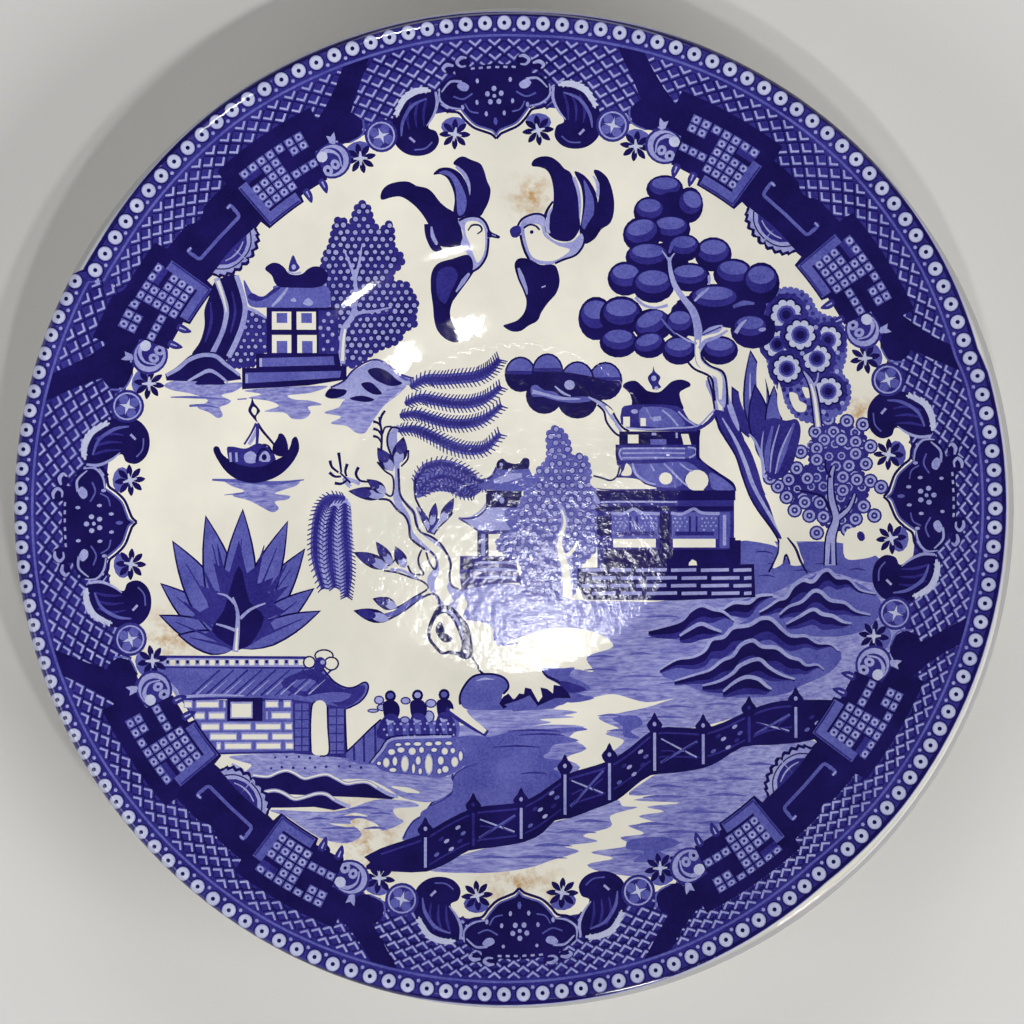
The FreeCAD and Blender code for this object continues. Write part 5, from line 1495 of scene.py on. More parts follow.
def left_banks():
    """The rolling ground under the house and the streaks of water in front of it."""
    lump(WATER, [
        (-42.4, -37.2), (-33.0, -36.8), (-25.0, -37.4), (-20.6, -38.6), (-16.0, -39.6), (-10.0, -40.4),
        (-9.2, -42.0), (-9.8, -43.0), (-12.4, -44.2), (-15.6, -43.9), (-17.4, -43.2), (-20.0, -41.6),
        (-22.4, -40.8), (-27.0, -40.8), (-30.0, -40.8), (-36.0, -40.9), (-40.4, -40.0), (-39.4, -38.6),
        (-41.2, -38.0)], 4)
    dots(COBALT, [
        (-37.5, -39.3), (-32.0, -39.2), (-22.0, -40.4), (-22.0, -38.6), (-33.0, -37.2), (-37.5, -37.4)],
        1.7, 0.22, 47)
    stroke(PAPER, [(-18.4, -41.9), (-16.0, -42.4), (-14.2, -42.8)], [0.2, 0.8, 0.2])
    for crest, floor in (
            (
                [
                    (-39.2, -40.1), (-37.0, -40.3), (-35.5, -39.7), (-34.2, -39.4), (-33.0, -39.8),
                    (-31.5, -40.6), (-30.0, -40.3), (-28.2, -40.0), (-26.8, -40.6), (-25.2, -41.4),
                    (-23.6, -41.2), (-22.0, -41.2), (-20.6, -42.0), (-18.8, -43.0), (-17.4, -43.4)],
                [(-18.4, -43.8), (-23.0, -43.5), (-28.0, -43.3), (-34.0, -43.0), (-38.0, -42.6)]),
            (
                [
                    (-37.9, -42.7), (-36.0, -42.4), (-34.6, -42.8), (-33.0, -43.7), (-31.4, -43.4),
                    (-29.6, -42.9), (-28.2, -43.0), (-27.0, -43.8), (-25.4, -44.6), (-24.6, -44.9)],
                [(-27.0, -45.4), (-30.0, -44.9), (-34.0, -45.0), (-37.0, -45.0)])):
        ink(NAVY, smooth(crest, False, 3) + floor)
        stroke(SKY, crest, 0.55)
        stroke(PAPER, crest[:-2], 0.22)
    stroke(SKY, [
        (-42.4, -38.4), (-41.0, -39.4), (-39.6, -41.0), (-38.4, -43.0), (-37.4, -45.4)],
        [0.3, 0.8, 0.7, 0.7, 0.4])
    stroke(BLUE, [(-42.0, -40.0), (-40.2, -42.0), (-38.8, -44.2)], [0.6, 0.9, 0.4])
    lump(WATER, [
        (-36.4, -45.3), (-27.0, -45.6), (-21.0, -43.9), (-17.4, -43.9), (-15.2, -44.2), (-14.4, -44.9),
        (-18.0, -45.2), (-17.6, -46.4), (-16.6, -47.2), (-19.6, -48.5), (-20.6, -47.5), (-23.0, -46.6),
        (-24.6, -47.2), (-22.8, -49.0), (-25.0, -50.3), (-28.4, -49.8), (-31.4, -48.2), (-34.0, -46.4)], 4)
    dashes(BLUE, (
        (-27.0, -46.6, 5.0), (-24.8, -45.2, 4.6), (-29.0, -48.2, 5.6), (-22.6, -48.2, 3.4),
        (-21.6, -46.0, 3.2), (-31.0, -46.8, 3.4)), 0.2, 0.4)
    stroke(PAPER, [(-27.6, -47.4), (-25.0, -47.7), (-22.6, -47.5)], [0.1, 0.5, 0.1])
    stroke(PAPER, [(-25.4, -46.2), (-23.8, -46.0), (-22.0, -46.3)], [0.1, 0.45, 0.1])


def walker(x, y, lean, light):
    """One small generic walker in a robe."""
    disc(NAVY, x - 0.1, y, 0.86, 0.9, 0, 12)
    disc(SKY if light else BLUE, x - 0.1, y + 0.05, 0.5, 0.45, 0, 9)
    lump(NAVY, [
        (x - 1.1, y - 0.9), (x + 0.3, y - 0.6), (x + 1.2, y - 1.4), (x + 1.3, y - 2.6), (x + 0.7, y - 3.4),
        (x - 0.8, y - 3.3), (x - 1.2, y - 2.2)], 3)
    lump(COBALT, [(x - 1.0, y - 3.0), (x + 1.0, y - 3.0), (x + 1.7, y - 6.2), (x - 1.3 + lean, y - 6.2)], 3)
    stroke(BLUE, [(x - 0.2, y - 3.6), (x - 0.1, y - 4.8), (x + 0.1, y - 6.0)], [0.3, 0.9, 0.6])
    stroke(SKY, [(x - 0.7, y - 3.5), (x - 0.3, y - 3.9), (x + 0.4, y - 3.8)], [0.2, 0.5, 0.2])


def bridge_and_walkers():
    """The bridge's banks on both sides of the stones, with three walkers on it."""
    lump(BLUE, [
        (-25.2, -36.7), (-23.4, -35.0), (-21.6, -33.2), (-20.0, -31.8), (-17.6, -31.6), (-12.0, -32.0),
        (-8.4, -31.6), (-8.4, -34.6), (-10.0, -35.0), (-18.0, -35.0), (-20.8, -38.6), (-24.6, -38.0)], 2)
    for x, top, bottom in (
            (-24.1, -35.8, -38.0), (-22.6, -34.2, -38.2), (-20.9, -32.6, -37.9), (-19.3, -31.8, -35.8)):
        stroke(COBALT, [(x, top), (x + 0.1, bottom)], 0.34)
    stroke(NAVY, [(-25.2, -36.7), (-23.4, -35.0), (-21.6, -33.2), (-20.0, -31.8)], 0.26)
    for x, y, rx, ry in (
            (-20.3, -28.9, 0.8, 0.7), (-19.8, -30.0, 0.9, 0.6), (-21.2, -30.5, 0.9, 0.35),
            (-16.3, -29.0, 0.8, 0.6), (-12.5, -29.4, 0.9, 0.7), (-12.8, -31.4, 0.9, 1.0),
            (-16.4, -31.9, 0.8, 0.6)):
        disc(COBALT, x, y, rx, ry, 0, 11)
        disc(SKY, x, y, rx - 0.22, ry - 0.2, 0, 9)
    for person in ((-18.5, -28.3, -0.8, False), (-14.4, -28.2, 0.0, True), (-10.4, -28.1, 0.0, False)):
        walker(*person)
    dots(SKY, [(-20.0, -34.2), (-8.6, -34.2), (-8.6, -32.0), (-20.0, -32.0)], 1.0, 0.2, 49)


def stone_arch():
    """The stones of the bridge."""
    lump(BLUE, [
        (-20.9, -38.6), (-18.3, -34.9), (-12.0, -34.6), (-8.8, -34.8), (-7.3, -36.8), (-7.3, -38.6),
        (-9.0, -39.8), (-10.4, -40.4), (-12.0, -40.5), (-16.0, -40.1), (-18.6, -39.8)], 2)
    stones = (
        (-20.3, -38.4, 0.35, 0.3), (-19.2, -38.3, 0.55, 0.8), (-18.4, -36.7, 0.6, 0.5),
        (-18.2, -39.4, 0.6, 0.34), (-17.9, -38.1, 0.4, 0.75), (-17.0, -36.4, 0.6, 0.45),
        (-17.4, -35.6, 0.5, 0.25), (-16.4, -38.5, 0.65, 1.35), (-15.3, -36.6, 0.6, 0.6),
        (-15.1, -39.2, 0.28, 0.8), (-14.4, -38.0, 0.42, 0.7), (-14.5, -35.5, 0.65, 0.32),
        (-13.9, -36.4, 0.4, 0.5), (-14.1, -39.6, 0.3, 0.5), (-12.8, -38.6, 0.65, 1.7),
        (-12.8, -35.5, 0.6, 0.34), (-12.0, -36.4, 0.5, 0.35), (-11.4, -35.4, 0.55, 0.34),
        (-11.0, -38.0, 0.5, 0.7), (-11.2, -39.6, 0.35, 0.45), (-10.4, -36.6, 0.55, 0.6),
        (-10.3, -39.3, 0.55, 0.55), (-9.2, -36.5, 0.4, 0.45), (-8.9, -38.2, 0.6, 0.85),
        (-8.0, -37.3, 0.34, 0.8), (-9.8, -35.4, 0.6, 0.3), (-16.0, -35.5, 0.5, 0.25))
    for x, y, rx, ry in stones:
        disc(COBALT, x, y, rx + 0.12, ry + 0.12, 0, 9)
        disc(SKY, x, y, rx, ry, 0, 11)
        disc(PAPER, x, y, rx * 0.78, ry * 0.8, 0, 9)
    stroke(SKY, [(-21.4, -38.3), (-19.8, -36.4), (-18.4, -34.8), (-14.0, -34.5), (-9.4, -34.4)], 0.36)
    stroke(NAVY, [(-21.8, -38.4), (-20.2, -36.4), (-18.6, -34.5), (-14.0, -34.1), (-9.2, -34.1)], 0.2)


def bank_path():
    """The path that crosses the bank."""
    stroke(COBALT, [(-10.2, -30.2), (-8.4, -31.4), (-6.0, -32.8), (-4.0, -34.0)], [0.6, 1.2, 1.3, 1.0])
    stroke(PAPER, [(-9.6, -30.3), (-8.0, -31.2), (-5.8, -32.6), (-4.3, -33.7)], [0.3, 0.8, 0.95, 0.7])


def middle_banks():
    """The banks between the bridge and the fence."""
    lump(WATER, [
        (-8.6, -32.8), (-2.0, -33.2), (5.0, -32.6), (10.6, -32.9), (8.4, -34.4), (11.0, -36.2),
        (7.8, -37.6), (10.0, -39.0), (7.4, -41.4), (4.6, -43.6), (-4.0, -45.2), (-9.6, -43.0),
        (-9.4, -37.5)], 3)
    lump(WATER, [
        (-6.4, -30.2), (0.0, -30.3), (6.0, -30.3), (9.6, -30.7), (7.6, -31.2), (9.0, -31.5), (4.0, -31.8),
        (5.6, -32.3), (1.0, -33.0), (-3.4, -33.6), (-5.0, -32.6), (-6.8, -31.0)], 4)
    lump(BLUE, [
        (-8.6, -34.6), (-6.0, -34.2), (-3.6, -34.4), (0.6, -33.4), (5.0, -33.2), (9.6, -33.0),
        (11.0, -33.4), (7.0, -34.0), (9.8, -35.0), (6.2, -35.6), (5.4, -36.6), (4.6, -37.6), (8.6, -38.2),
        (6.0, -39.2), (6.6, -40.6), (3.6, -43.4), (-4.0, -45.0), (-9.0, -46.4), (-13.2, -48.6),
        (-13.4, -46.4), (-12.4, -44.4), (-10.8, -43.2), (-9.5, -42.9), (-9.4, -40.6), (-7.4, -38.8),
        (-7.4, -36.4)], 4)
    lump(BLUE, [
        (-16.8, -49.8), (-16.0, -48.4), (-14.8, -47.0), (-13.4, -46.0), (-12.6, -48.6), (-15.0, -49.8)], 3)
    for edge in (
            [
                (-9.2, -40.0), (-9.4, -41.4), (-9.5, -42.9), (-10.8, -43.3), (-12.2, -44.2), (-13.2, -45.6),
                (-13.6, -46.4)],
            [(-13.6, -46.2), (-15.0, -47.0), (-16.0, -48.3), (-16.6, -49.6)]):
        stroke(COBALT, edge, 0.28)
    lump(BLUE, [
        (-14.1, -46.1), (-12.5, -44.8), (-9.5, -43.1), (-9.3, -41.1), (-8.3, -39.6), (-5.6, -38.4),
        (-1.8, -38.6), (2.5, -38.8), (6.7, -39.6), (7.1, -41.5), (1.3, -44.6), (-6.4, -45.4),
        (-12.5, -48.1)], 4)
    stroke(COBALT, [
        (-12.5, -44.8), (-9.5, -43.1), (-9.3, -41.1), (-8.3, -39.6), (-5.6, -38.4)],
        [0.1, 0.2, 0.26, 0.2, 0.08])
    dashes(COBALT, ((0.6, -34.2, 7.0), (-3.0, -36.0, 7.0), (1.0, -40.0, 4.0), (-1.0, -33.6, 8.0)), 0.2, 0.3)
    lump(WATER, [
        (12.8, -31.5), (15.0, -31.0), (20.0, -30.0), (26.0, -28.4), (35.0, -29.0), (34.4, -31.0),
        (27.4, -33.0), (22.0, -33.2), (19.4, -34.8), (17.0, -36.6), (15.3, -37.6), (14.8, -36.8),
        (16.6, -35.0), (13.8, -34.0), (15.8, -33.2), (13.8, -32.3)], 4)
    lump(BLUE, [
        (14.8, -31.6), (18.4, -31.2), (19.4, -32.6), (17.6, -33.6), (19.0, -34.6), (16.6, -34.4),
        (16.4, -32.8)], 3)
    lump(WATER, [
        (36.0, -28.0), (42.0, -26.0), (46.0, -24.6), (52.0, -26.0), (50.0, -29.0), (40.0, -29.4),
        (36.0, -30.4)], 3)
    dashes(BLUE, (
        (20.0, -31.6, 6.0), (22.0, -30.0, 5.0), (28.8, -29.6, 5.0), (12.6, -31.3, 4.0), (14.0, -33.6, 3.0)),
        0.2, 0.36)


def lower_water():
    """Streaky water below the fence."""
    lump(WATER, [
        (5.0, -47.6), (9.0, -46.4), (13.0, -44.8), (15.6, -43.9), (16.4, -44.8), (18.6, -45.0),
        (14.6, -46.2), (14.6, -47.9), (10.4, -49.2), (12.6, -50.1), (7.6, -50.8), (9.8, -51.6),
        (5.4, -53.0), (2.4, -54.0), (-4.0, -54.8), (-13.0, -54.4), (-8.0, -52.2), (-2.0, -50.6),
        (2.6, -49.8)], 4)
    lump(WATER, [
        (22.0, -39.9), (19.6, -41.2), (17.4, -43.2), (24.4, -42.9), (18.0, -43.9), (25.0, -44.3),
        (20.0, -44.9), (22.6, -45.6), (18.8, -46.3), (21.6, -47.4), (17.2, -47.7), (19.6, -48.9),
        (16.0, -49.5), (17.4, -50.7), (11.6, -51.7), (15.0, -52.6), (11.0, -53.6), (15.0, -55.0),
        (24.0, -55.0), (32.0, -50.0), (38.0, -45.0), (42.0, -39.0), (45.4, -35.0), (38.0, -35.2),
        (32.0, -36.6), (28.0, -38.6)], 4)
    dashes(BLUE, (
        (9.0, -47.2, 5.4), (6.4, -48.8, 6.0), (3.0, -50.8, 5.8), (0.0, -52.6, 8.0), (-6.0, -52.6, 6.0),
        (20.4, -41.9, 5.0), (19.4, -43.5, 7.6), (24.4, -45.8, 8.0), (18.4, -47.6, 6.0), (21.6, -48.8, 8.0),
        (17.4, -50.2, 8.0), (14.6, -52.2, 8.0), (29.0, -43.2, 6.0), (31.0, -40.8, 5.0), (27.6, -47.4, 5.0),
        (35.0, -38.6, 4.4), (27.0, -41.0, 3.6)), 0.22, 0.5, 0.4)
    lump(BLUE, [
        (17.6, -49.8), (22.6, -49.4), (25.0, -50.4), (22.0, -51.6), (24.0, -52.6), (18.0, -53.2),
        (19.6, -51.6), (17.0, -51.2)], 3)
    dashes(SKY, (
        (22.4, -44.9, 3.4), (21.8, -43.1, 3.0), (25.0, -43.6, 4.0), (31.4, -39.4, 4.0), (2.6, -49.0, 4.0)),
        0.1, 0.3)


# Each post's place across, and the heights of its tip and its foot.
FENCE_POSTS = (
    (-13.3, -46.4, -54.0), (-6.1, -42.8, -50.8), (1.1, -42.0, -49.7), (7.7, -37.0, -46.1),
    (14.4, -35.3, -43.9), (21.2, -30.7, -39.5), (28.5, -30.9, -38.5), (35.4, -28.2, -35.2),
    (42.4, -26.8, -34.5))


def fence():
    """The rail that crosses the foreground, with crossed and dotted panels between its posts."""
    top = [
        (-22.5, -52.4), (-20.0, -51.1), (-17.0, -50.1), (-13.3, -48.8), (-10.0, -46.9), (-6.1, -45.1),
        (-2.0, -44.6), (1.1, -44.2), (4.0, -42.8), (7.7, -40.2), (10.6, -39.2), (14.4, -38.0),
        (17.6, -36.0), (21.2, -33.2), (25.0, -33.0), (28.5, -33.1), (31.6, -32.2), (35.4, -30.4),
        (38.8, -29.2), (42.4, -28.8), (49.0, -28.8)]
    bottom = [
        (49.0, -34.0), (46.6, -34.4), (43.0, -35.2), (38.4, -35.6), (34.4, -35.9), (31.0, -38.0),
        (28.5, -39.1), (24.4, -39.8), (20.6, -40.2), (18.0, -42.0), (15.6, -43.9), (12.0, -45.3),
        (8.6, -46.6), (6.2, -47.0), (4.4, -48.8), (1.6, -50.2), (-3.0, -51.0), (-6.8, -51.5), (-9.0, -52.8),
        (-13.0, -54.6), (-18.0, -54.6), (-22.2, -54.2), (-21.6, -53.2)]
    ink(NAVY, smooth(top, False, 2) + smooth(bottom, False, 2))
    stroke(COBALT, [(x, y - 0.9) for x, y in top[1:-1]], 0.3)
    stroke(COBALT, [(x, y - 4.9 + 0.02 * x) for x, y in top[3:-1]], 0.26)
    for (x0, y0, low0), (x1, y1, low1), crossed in zip(FENCE_POSTS, FENCE_POSTS[1:] + (
            (49.6, -28.0, -34.6),), (0, 1, 0, 1, 0, 1, 0, 1, 0)):
        high0, high1 = y0 - 3.6, y1 - 3.6
        mid_x, mid_y = (x0 + x1) / 2, (high0 + high1 + low0 + low1) / 4
        if crossed:
            stroke(SKY, [(x0 + 1.0, high0 - 0.4), (x1 - 1.0, low1 + 1.0)], [0.2, 0.34])
            stroke(BLUE, [(x0 + 0.9, low0 + 1.2), (x1 - 0.9, high1 - 0.6)], 0.36)
            stroke(COBALT, [(x0 + 1.0, low0 + 3.0), (mid_x - 0.6, mid_y), (x0 + 1.0, low0 + 1.2)], 0.22)
            stroke(COBALT, [(x1 - 1.0, low1 + 3.2), (mid_x + 0.8, mid_y + 0.2), (x1 - 1.0, low1 + 0.8)], 0.22)
        else:
            for dx, dy, tone in (
                    (-1.9, -0.9, BLUE), (-0.4, 0.5, SKY), (1.3, 1.8, SKY), (0.3, -1.2, SKY),
                    (2.1, 0.4, BLUE), (-1.2, 1.3, COBALT), (1.6, -0.6, COBALT)):
                rise = (high1 - high0) / (x1 - x0) * dx
                disc(tone, mid_x + dx, mid_y + dy * 0.9 + rise, 0.46, 0.26, 35, 8)
    for x, tip, low in FENCE_POSTS:
        tone = COBALT if x in (-6.1, 35.4) else SKY
        lump(NAVY, [
            (x, tip), (x + 0.5, tip - 1.0), (x + 1.2, tip - 1.9), (x + 0.7, tip - 2.9), (x, tip - 3.6),
            (x - 0.7, tip - 2.9), (x - 1.2, tip - 1.9), (x - 0.5, tip - 1.0)], 2)
        box(NAVY, x - 0.6, low - 0.2, x + 0.6, tip - 2.6)
        disc(tone, x, tip - 1.8, 0.28, 0.34, 0, 9)
        box(tone, x - 0.2, low, x + 0.22, tip - 3.1)


def fallen_twigs():
    """Small dark tufts where the lower water meets the border."""
    for x, y in ((-28.6, -50.4), (-26.6, -51.6), (23.6, -52.4), (26.0, -51.2), (28.6, -50.0)):
        stroke(NAVY, [(x, y), (x + 0.7, y - 0.9), (x + 0.5, y - 1.8)], [0.5, 0.7, 0.3])


def draw_all():
    """The whole print, from the lowest layer to the highest."""
    border_ground()
    left_trees()
    left_cliff()
    left_shore()
    left_pagoda()
    boat()
    middle_ground()
    middle_banks()
    lower_water()
    right_sky_and_ground()
    curly_tree()
    flower_tree()
    leaf_plants()
    slanting_stem()
    rocks()
    willow_fronds()
    small_pagoda()
    berry_clump()
    blob_cluster()
    apple_tree()
    apple_wood()
    tea_house_top()
    upper_room()
    balcony()
    lower_roof()
    tea_house_front()
    brick_terrace()
    root_mound()
    willow_trunk()
    willow_twigs()
    willow_knot()
    left_bird()
    right_bird()
    star_plant()
    left_banks()
    brick_house_roof()
    ridge_row()
    brick_wall()
    doorway()
    bridge_and_walkers()
    stone_arch()
    bank_path()
    fence()
    fallen_twigs()
    border()


# ---------------------------------------------------------------- surface
# The clay's half profile as in the CAD: each corner's radius, height and rounding, from the middle of the
# face round to the middle of the base.
PROFILE = (
    (0.0, 5.9, 0.0), (25.7, 5.9, 6.0), (30.7, 7.1, 6.0), (39.0, 7.7, 30.0), (74.16, 20.6, 0.85),
    (75.11, 18.7, 0.85), (45.1, 5.9, 1.5), (44.0, 0.0, 0.7), (40.8, 0.0, 0.7), (40.0, 2.6, 1.5),
    (0.0, 2.6, 0.0))
GLAZE = 0.2  # its thickness
WIPED = 0.8  # the foot is bare up to this height
LONGEST_EDGE = 1.5  # a longer edge of a drawn shape is split
FINE_STEPS = 24  # parts of each rounding, where the face's height is read
TURNED_STEPS = 9  # and where a turned piece is made


def unit(r, z):
    length = math.hypot(r, z)
    return r / length, z / length


def half_profile(steps):
    """The clay's half profile as rows of radius, height and outward normal, each rounding in equal steps."""
    rows = [(0.0, PROFILE[0][1], 0.0, 1.0)]
    for before, (r, z, rounding), after in zip(PROFILE, PROFILE[1:], PROFILE[2:]):
        ar, az = unit(r - before[0], z - before[1])
        br, bz = unit(after[0] - r, after[1] - z)
        turn = math.atan2(ar * bz - az * br, ar * br + az * bz)
        side = math.copysign(1.0, turn)
        reach = rounding * math.tan(abs(turn) / 2)
        centre_r = r - ar * reach - az * rounding * side
        centre_z = z - az * reach + ar * rounding * side
        for step in range(steps + 1):
            angle = turn * step / steps
            dr = ar * math.cos(angle) - az * math.sin(angle)
            dz = ar * math.sin(angle) + az * math.cos(angle)
            rows.append((centre_r + dz * rounding * side, centre_z - dr * rounding * side, -dz, dr))
    rows.append((0.0, PROFILE[-1][1], 0.0, -1.0))
    return np.array(rows)


def glazed(rows):
    """The same rows on the glaze's surface."""
    out = rows.copy()
    out[:, :2] += GLAZE * out[:, 2:]
    return out


def crossing(rows, column, value):
    """The row where a column first passes a value, between two neighbours."""
    for a, b in zip(rows, rows[1:]):
        if (a[column] - value) * (b[column] - value) <= 0 and a[column] != b[column]:
            return a + (b - a) * (value - a[column]) / (b[column] - a[column])
    raise ValueError("the profile never passes that value")


fine = glazed(half_profile(FINE_STEPS))
face_rows = fine[:int(np.argmax(fine[:, 0]))]


def on_face(x, y, depth=0.0):
    """Points and normals of the face above plan points, depth below the glaze's surface, in metres."""
    radius = np.hypot(x, y)
    height, normal_r, normal_z = (np.interp(radius, face_rows[:, 0], face_rows[:, k]) for k in (1, 2, 3))
    length = np.hypot(normal_r, normal_z)
    normal_r, normal_z = normal_r / length, normal_z / length
    safe = np.maximum(radius, 1e-9)
    normals = np.stack((normal_r * x / safe, normal_r * y / safe, normal_z), 1)
    points = np.stack((x, y, height), 1) - depth * normals
    return points * MM, normals


def new_piece(name, points, faces, normals, material):
    """A mesh with its own corner normals that rides on the plate."""
    mesh = bpy.data.meshes.new(name)
    mesh.from_pydata(points.tolist(), [], faces)
    mesh.shade_smooth()
    mesh.normals_split_custom_set(normals)
    mesh.materials.append(material)
    piece = bpy.data.objects.new(name, mesh)
    bpy.context.scene.collection.objects.link(piece)
    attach(piece, BODY)
    return piece


def loose_points():
    """Rings of points that carry the face's curves where the print has no edges."""
    rings = [(3.0 * k, 3.0) for k in range(1, 8)]
    rings += [(22.4 + 0.8 * k, 2.0) for k in range(15)]
    rings += [(35.0 + 1.2 * k, 2.2) for k in range(8)]
    rings += [(46.0 + 2.4 * k, 2.4) for k in range(7)]
    rings += [(73.4, 1.4), (73.75, 1.3), (74.08, 1.3), (74.36, 1.3), (74.6, 1.3), (74.77, 1.3)]
    points = []
    for place, (radius, spacing) in enumerate(rings):
        count = int(math.tau * radius / spacing)
        points += [polar(360 * (k + 0.37 * (place % 3)) / count, radius) for k in range(count)]
    return points


def cut_face():
    """Plan points and triangles of the face, cut along every edge of every shape."""
    corners, edges = [], []
    for tone, outline in shapes:
        first = len(corners)
        for (ax, ay), (bx, by) in zip(outline, outline[1:] + outline[:1]):
            count = max(1, math.ceil(math.hypot(bx - ax, by - ay) / LONGEST_EDGE))
            for k in range(count):
                corners.append(Vector((ax + (bx - ax) * k / count, ay + (by - ay) * k / count)))
        total = len(corners) - first
        edges += [(first + k, first + (k + 1) % total) for k in range(total)]
    corners += [Vector(p) for p in loose_points()]
    points, _, triangles, *_ = delaunay_2d_cdt(corners, edges, [], 0, 1e-3, False)
    points = np.array([tuple(p) for p in points])
    triangles = np.array(triangles)
    middles = points[triangles].mean(1)
    return points, triangles[np.hypot(middles[:, 0], middles[:, 1]) < PRINT_EDGE]


def windings(x, y, outline):
    """How many times an outline goes round each point."""
    turns = np.zeros(len(x), int)
    for (ax, ay), (bx, by) in zip(outline, outline[1:] + outline[:1]):
        left = (bx - ax) * (y - ay) - (by - ay) * (x - ax)
        turns += ((ay <= y) & (by > y) & (left > 0)).astype(int)
        turns -= ((ay > y) & (by <= y) & (left < 0)).astype(int)
    return turns


def tones_of(points, triangles):
    """The tone of the topmost shape over each triangle."""
    middles = points[triangles].mean(1)
    order = np.argsort(middles[:, 1])
    x, y = middles[order, 0], middles[order, 1]
    tones = np.full(len(x), PAPER, dtype=object)
    for tone, outline in shapes:
        xs = [p[0] for p in outline]
        low, high = np.searchsorted(y, (min(p[1] for p in outline), max(p[1] for p in outline)))
        near = low + np.flatnonzero((x[low:high] > min(xs)) & (x[low:high] < max(xs)))
        tones[near[windings(x[near], y[near], outline) != 0]] = tone
    result = np.empty(len(x), dtype=object)
    result[order] = tones
    return result


def slab(name, points, triangles, material):
    """One tone of the print: as deep as the glaze, with the glaze's surface on top."""
    used, inverse = np.unique(triangles, return_inverse=True)
    triangles = inverse.reshape(-1, 3)
    x, y = points[used, 0], points[used, 1]
    first, second, third = (np.stack((x, y), 1)[triangles[:, k]] for k in range(3))
    spin = np.cross(second - first, third - first)
    triangles[spin < 0] = triangles[spin < 0][:, ::-1]
    top, normals = on_face(x, y)
    floor, _ = on_face(x, y, GLAZE)
    count = len(used)
    sides = np.concatenate((triangles[:, (0, 1)], triangles[:, (1, 2)], triangles[:, (2, 0)]))
    known = set(map(tuple, sides.tolist()))
    rim = [(a, b) for a, b in known if (b, a) not in known]
    rim.sort()
    walls = [(b, a, a + count, b + count) for a, b in rim]
    faces = triangles.tolist() + (triangles[:, ::-1] + count).tolist() + walls
    corner_normals = [normals[triangles.ravel()], -normals[triangles[:, ::-1].ravel()]]
    if rim:
        ends = np.array(rim)
        run = top[ends[:, 1]] - top[ends[:, 0]]
        outward = np.stack((run[:, 1], -run[:, 0], np.zeros(len(run))), 1)
        outward /= np.maximum(np.linalg.norm(outward, axis=1, keepdims=True), 1e-12)
        corner_normals.append(np.repeat(outward, 4, 0))
    return new_piece(name, np.concatenate(
        (top, floor)), faces, np.concatenate(corner_normals), material)


def turned(name, rows, material, shell=True):
    """A turned piece: a layer over the clay as deep as the glaze, or the solid clay itself."""
    outside = glazed(rows) if shell else rows
    outline = np.concatenate((outside, rows[::-1] * (1, 1, -1, -1))) if shell else rows
    angles = np.radians(np.arange(TURNS) * 360 / TURNS)
    c, s = np.cos(angles)[:, None], np.sin(angles)[:, None]
    points = np.stack((outline[:, 0] * c, outline[:, 0] * s, outline[:, 1] + 0 * c), 2)
    normals = np.stack((outline[:, 2] * c, outline[:, 2] * s, outline[:, 3] + 0 * c), 2)
    count = len(outline)
    faces, corner_normals = [], []
    spans = [(k, (k + 1) % count) for k in range(count if shell else count - 1)]
    for turn in range(TURNS):
        following = (turn + 1) % TURNS
        for a, b in spans:
            corners = [(turn, a), (following, a), (following, b), (turn, b)]
            if outline[a, 0] < 1e-6:
                corners = [(0, a), (following, b), (turn, b)]
            elif outline[b, 0] < 1e-6:
                corners = [(turn, a), (following, a), (0, b)]
            faces.append([t * count + k for t, k in corners])
            corner_normals += [normals[t, k] for t, k in corners]
    return new_piece(name, points.reshape(-1, 3) * MM, [face[::-1] for face in faces],
                     reversed_corners(faces, corner_normals), material)


def reversed_corners(faces, corner_normals):
    """Corner normals in the order of faces whose corners are taken backwards."""
    out, place = [], 0
    for face in faces:
        out += corner_normals[place:place + len(face)][::-1]
        place += len(face)
    return out


# ---------------------------------------------------------------- finish
def node(tree, kind, **values):
    """A shader node with some of its inputs set."""
    made = tree.nodes.new(kind)
    for name, value in values.items():
        made.inputs[name.replace("_", " ")].default_value = value
    return made


GLAZE_ROUGHNESS = 0.05
GLAZE_IOR = 1.47
STAIN_TAN = (0.45, 0.25, 0.075, 1)
# The lip's grey below is painted shade, laid over the glaze's colour for the dark that the outward-turned rim
# faces.
LIP_PAINTED_SHADE = (0.28, 0.28, 0.30, 1)
LIP_PAINTED_SHADE_SHARE = 0.85
SHADE_FROM, SHADE_TO = 73.5, 74.4  # the radii between which the grey of the lip comes in
# Old brown stains in the white glaze: x, y and reach in millimetres.
STAINS = (
    (-52.5, -20.0, 6.0), (2.5, 47.0, 4.8), (51.8, 13.5, 5.0), (-23.0, -50.0, 9.0), (1.0, -57.0, 8.0),
    (50.0, -22.0, 5.0))


def vector_math(tree, operation, first, second=(0.0, 0.0, 0.0)):
    made = tree.nodes.new("ShaderNodeVectorMath")
    made.operation = operation
    made.inputs[1].default_value = second
    tree.links.new(first, made.inputs[0])
    return made


def laid_over(tree, colour, above, factor):
    """A colour with a flat one laid over it by a factor."""
    mix = tree.nodes.new("ShaderNodeMix")
    mix.data_type = "RGBA"
    tree.links.new(factor, mix.inputs["Factor"])
    tree.links.new(colour, mix.inputs["A"])
    mix.inputs["B"].default_value = above
    return mix.outputs["Result"]


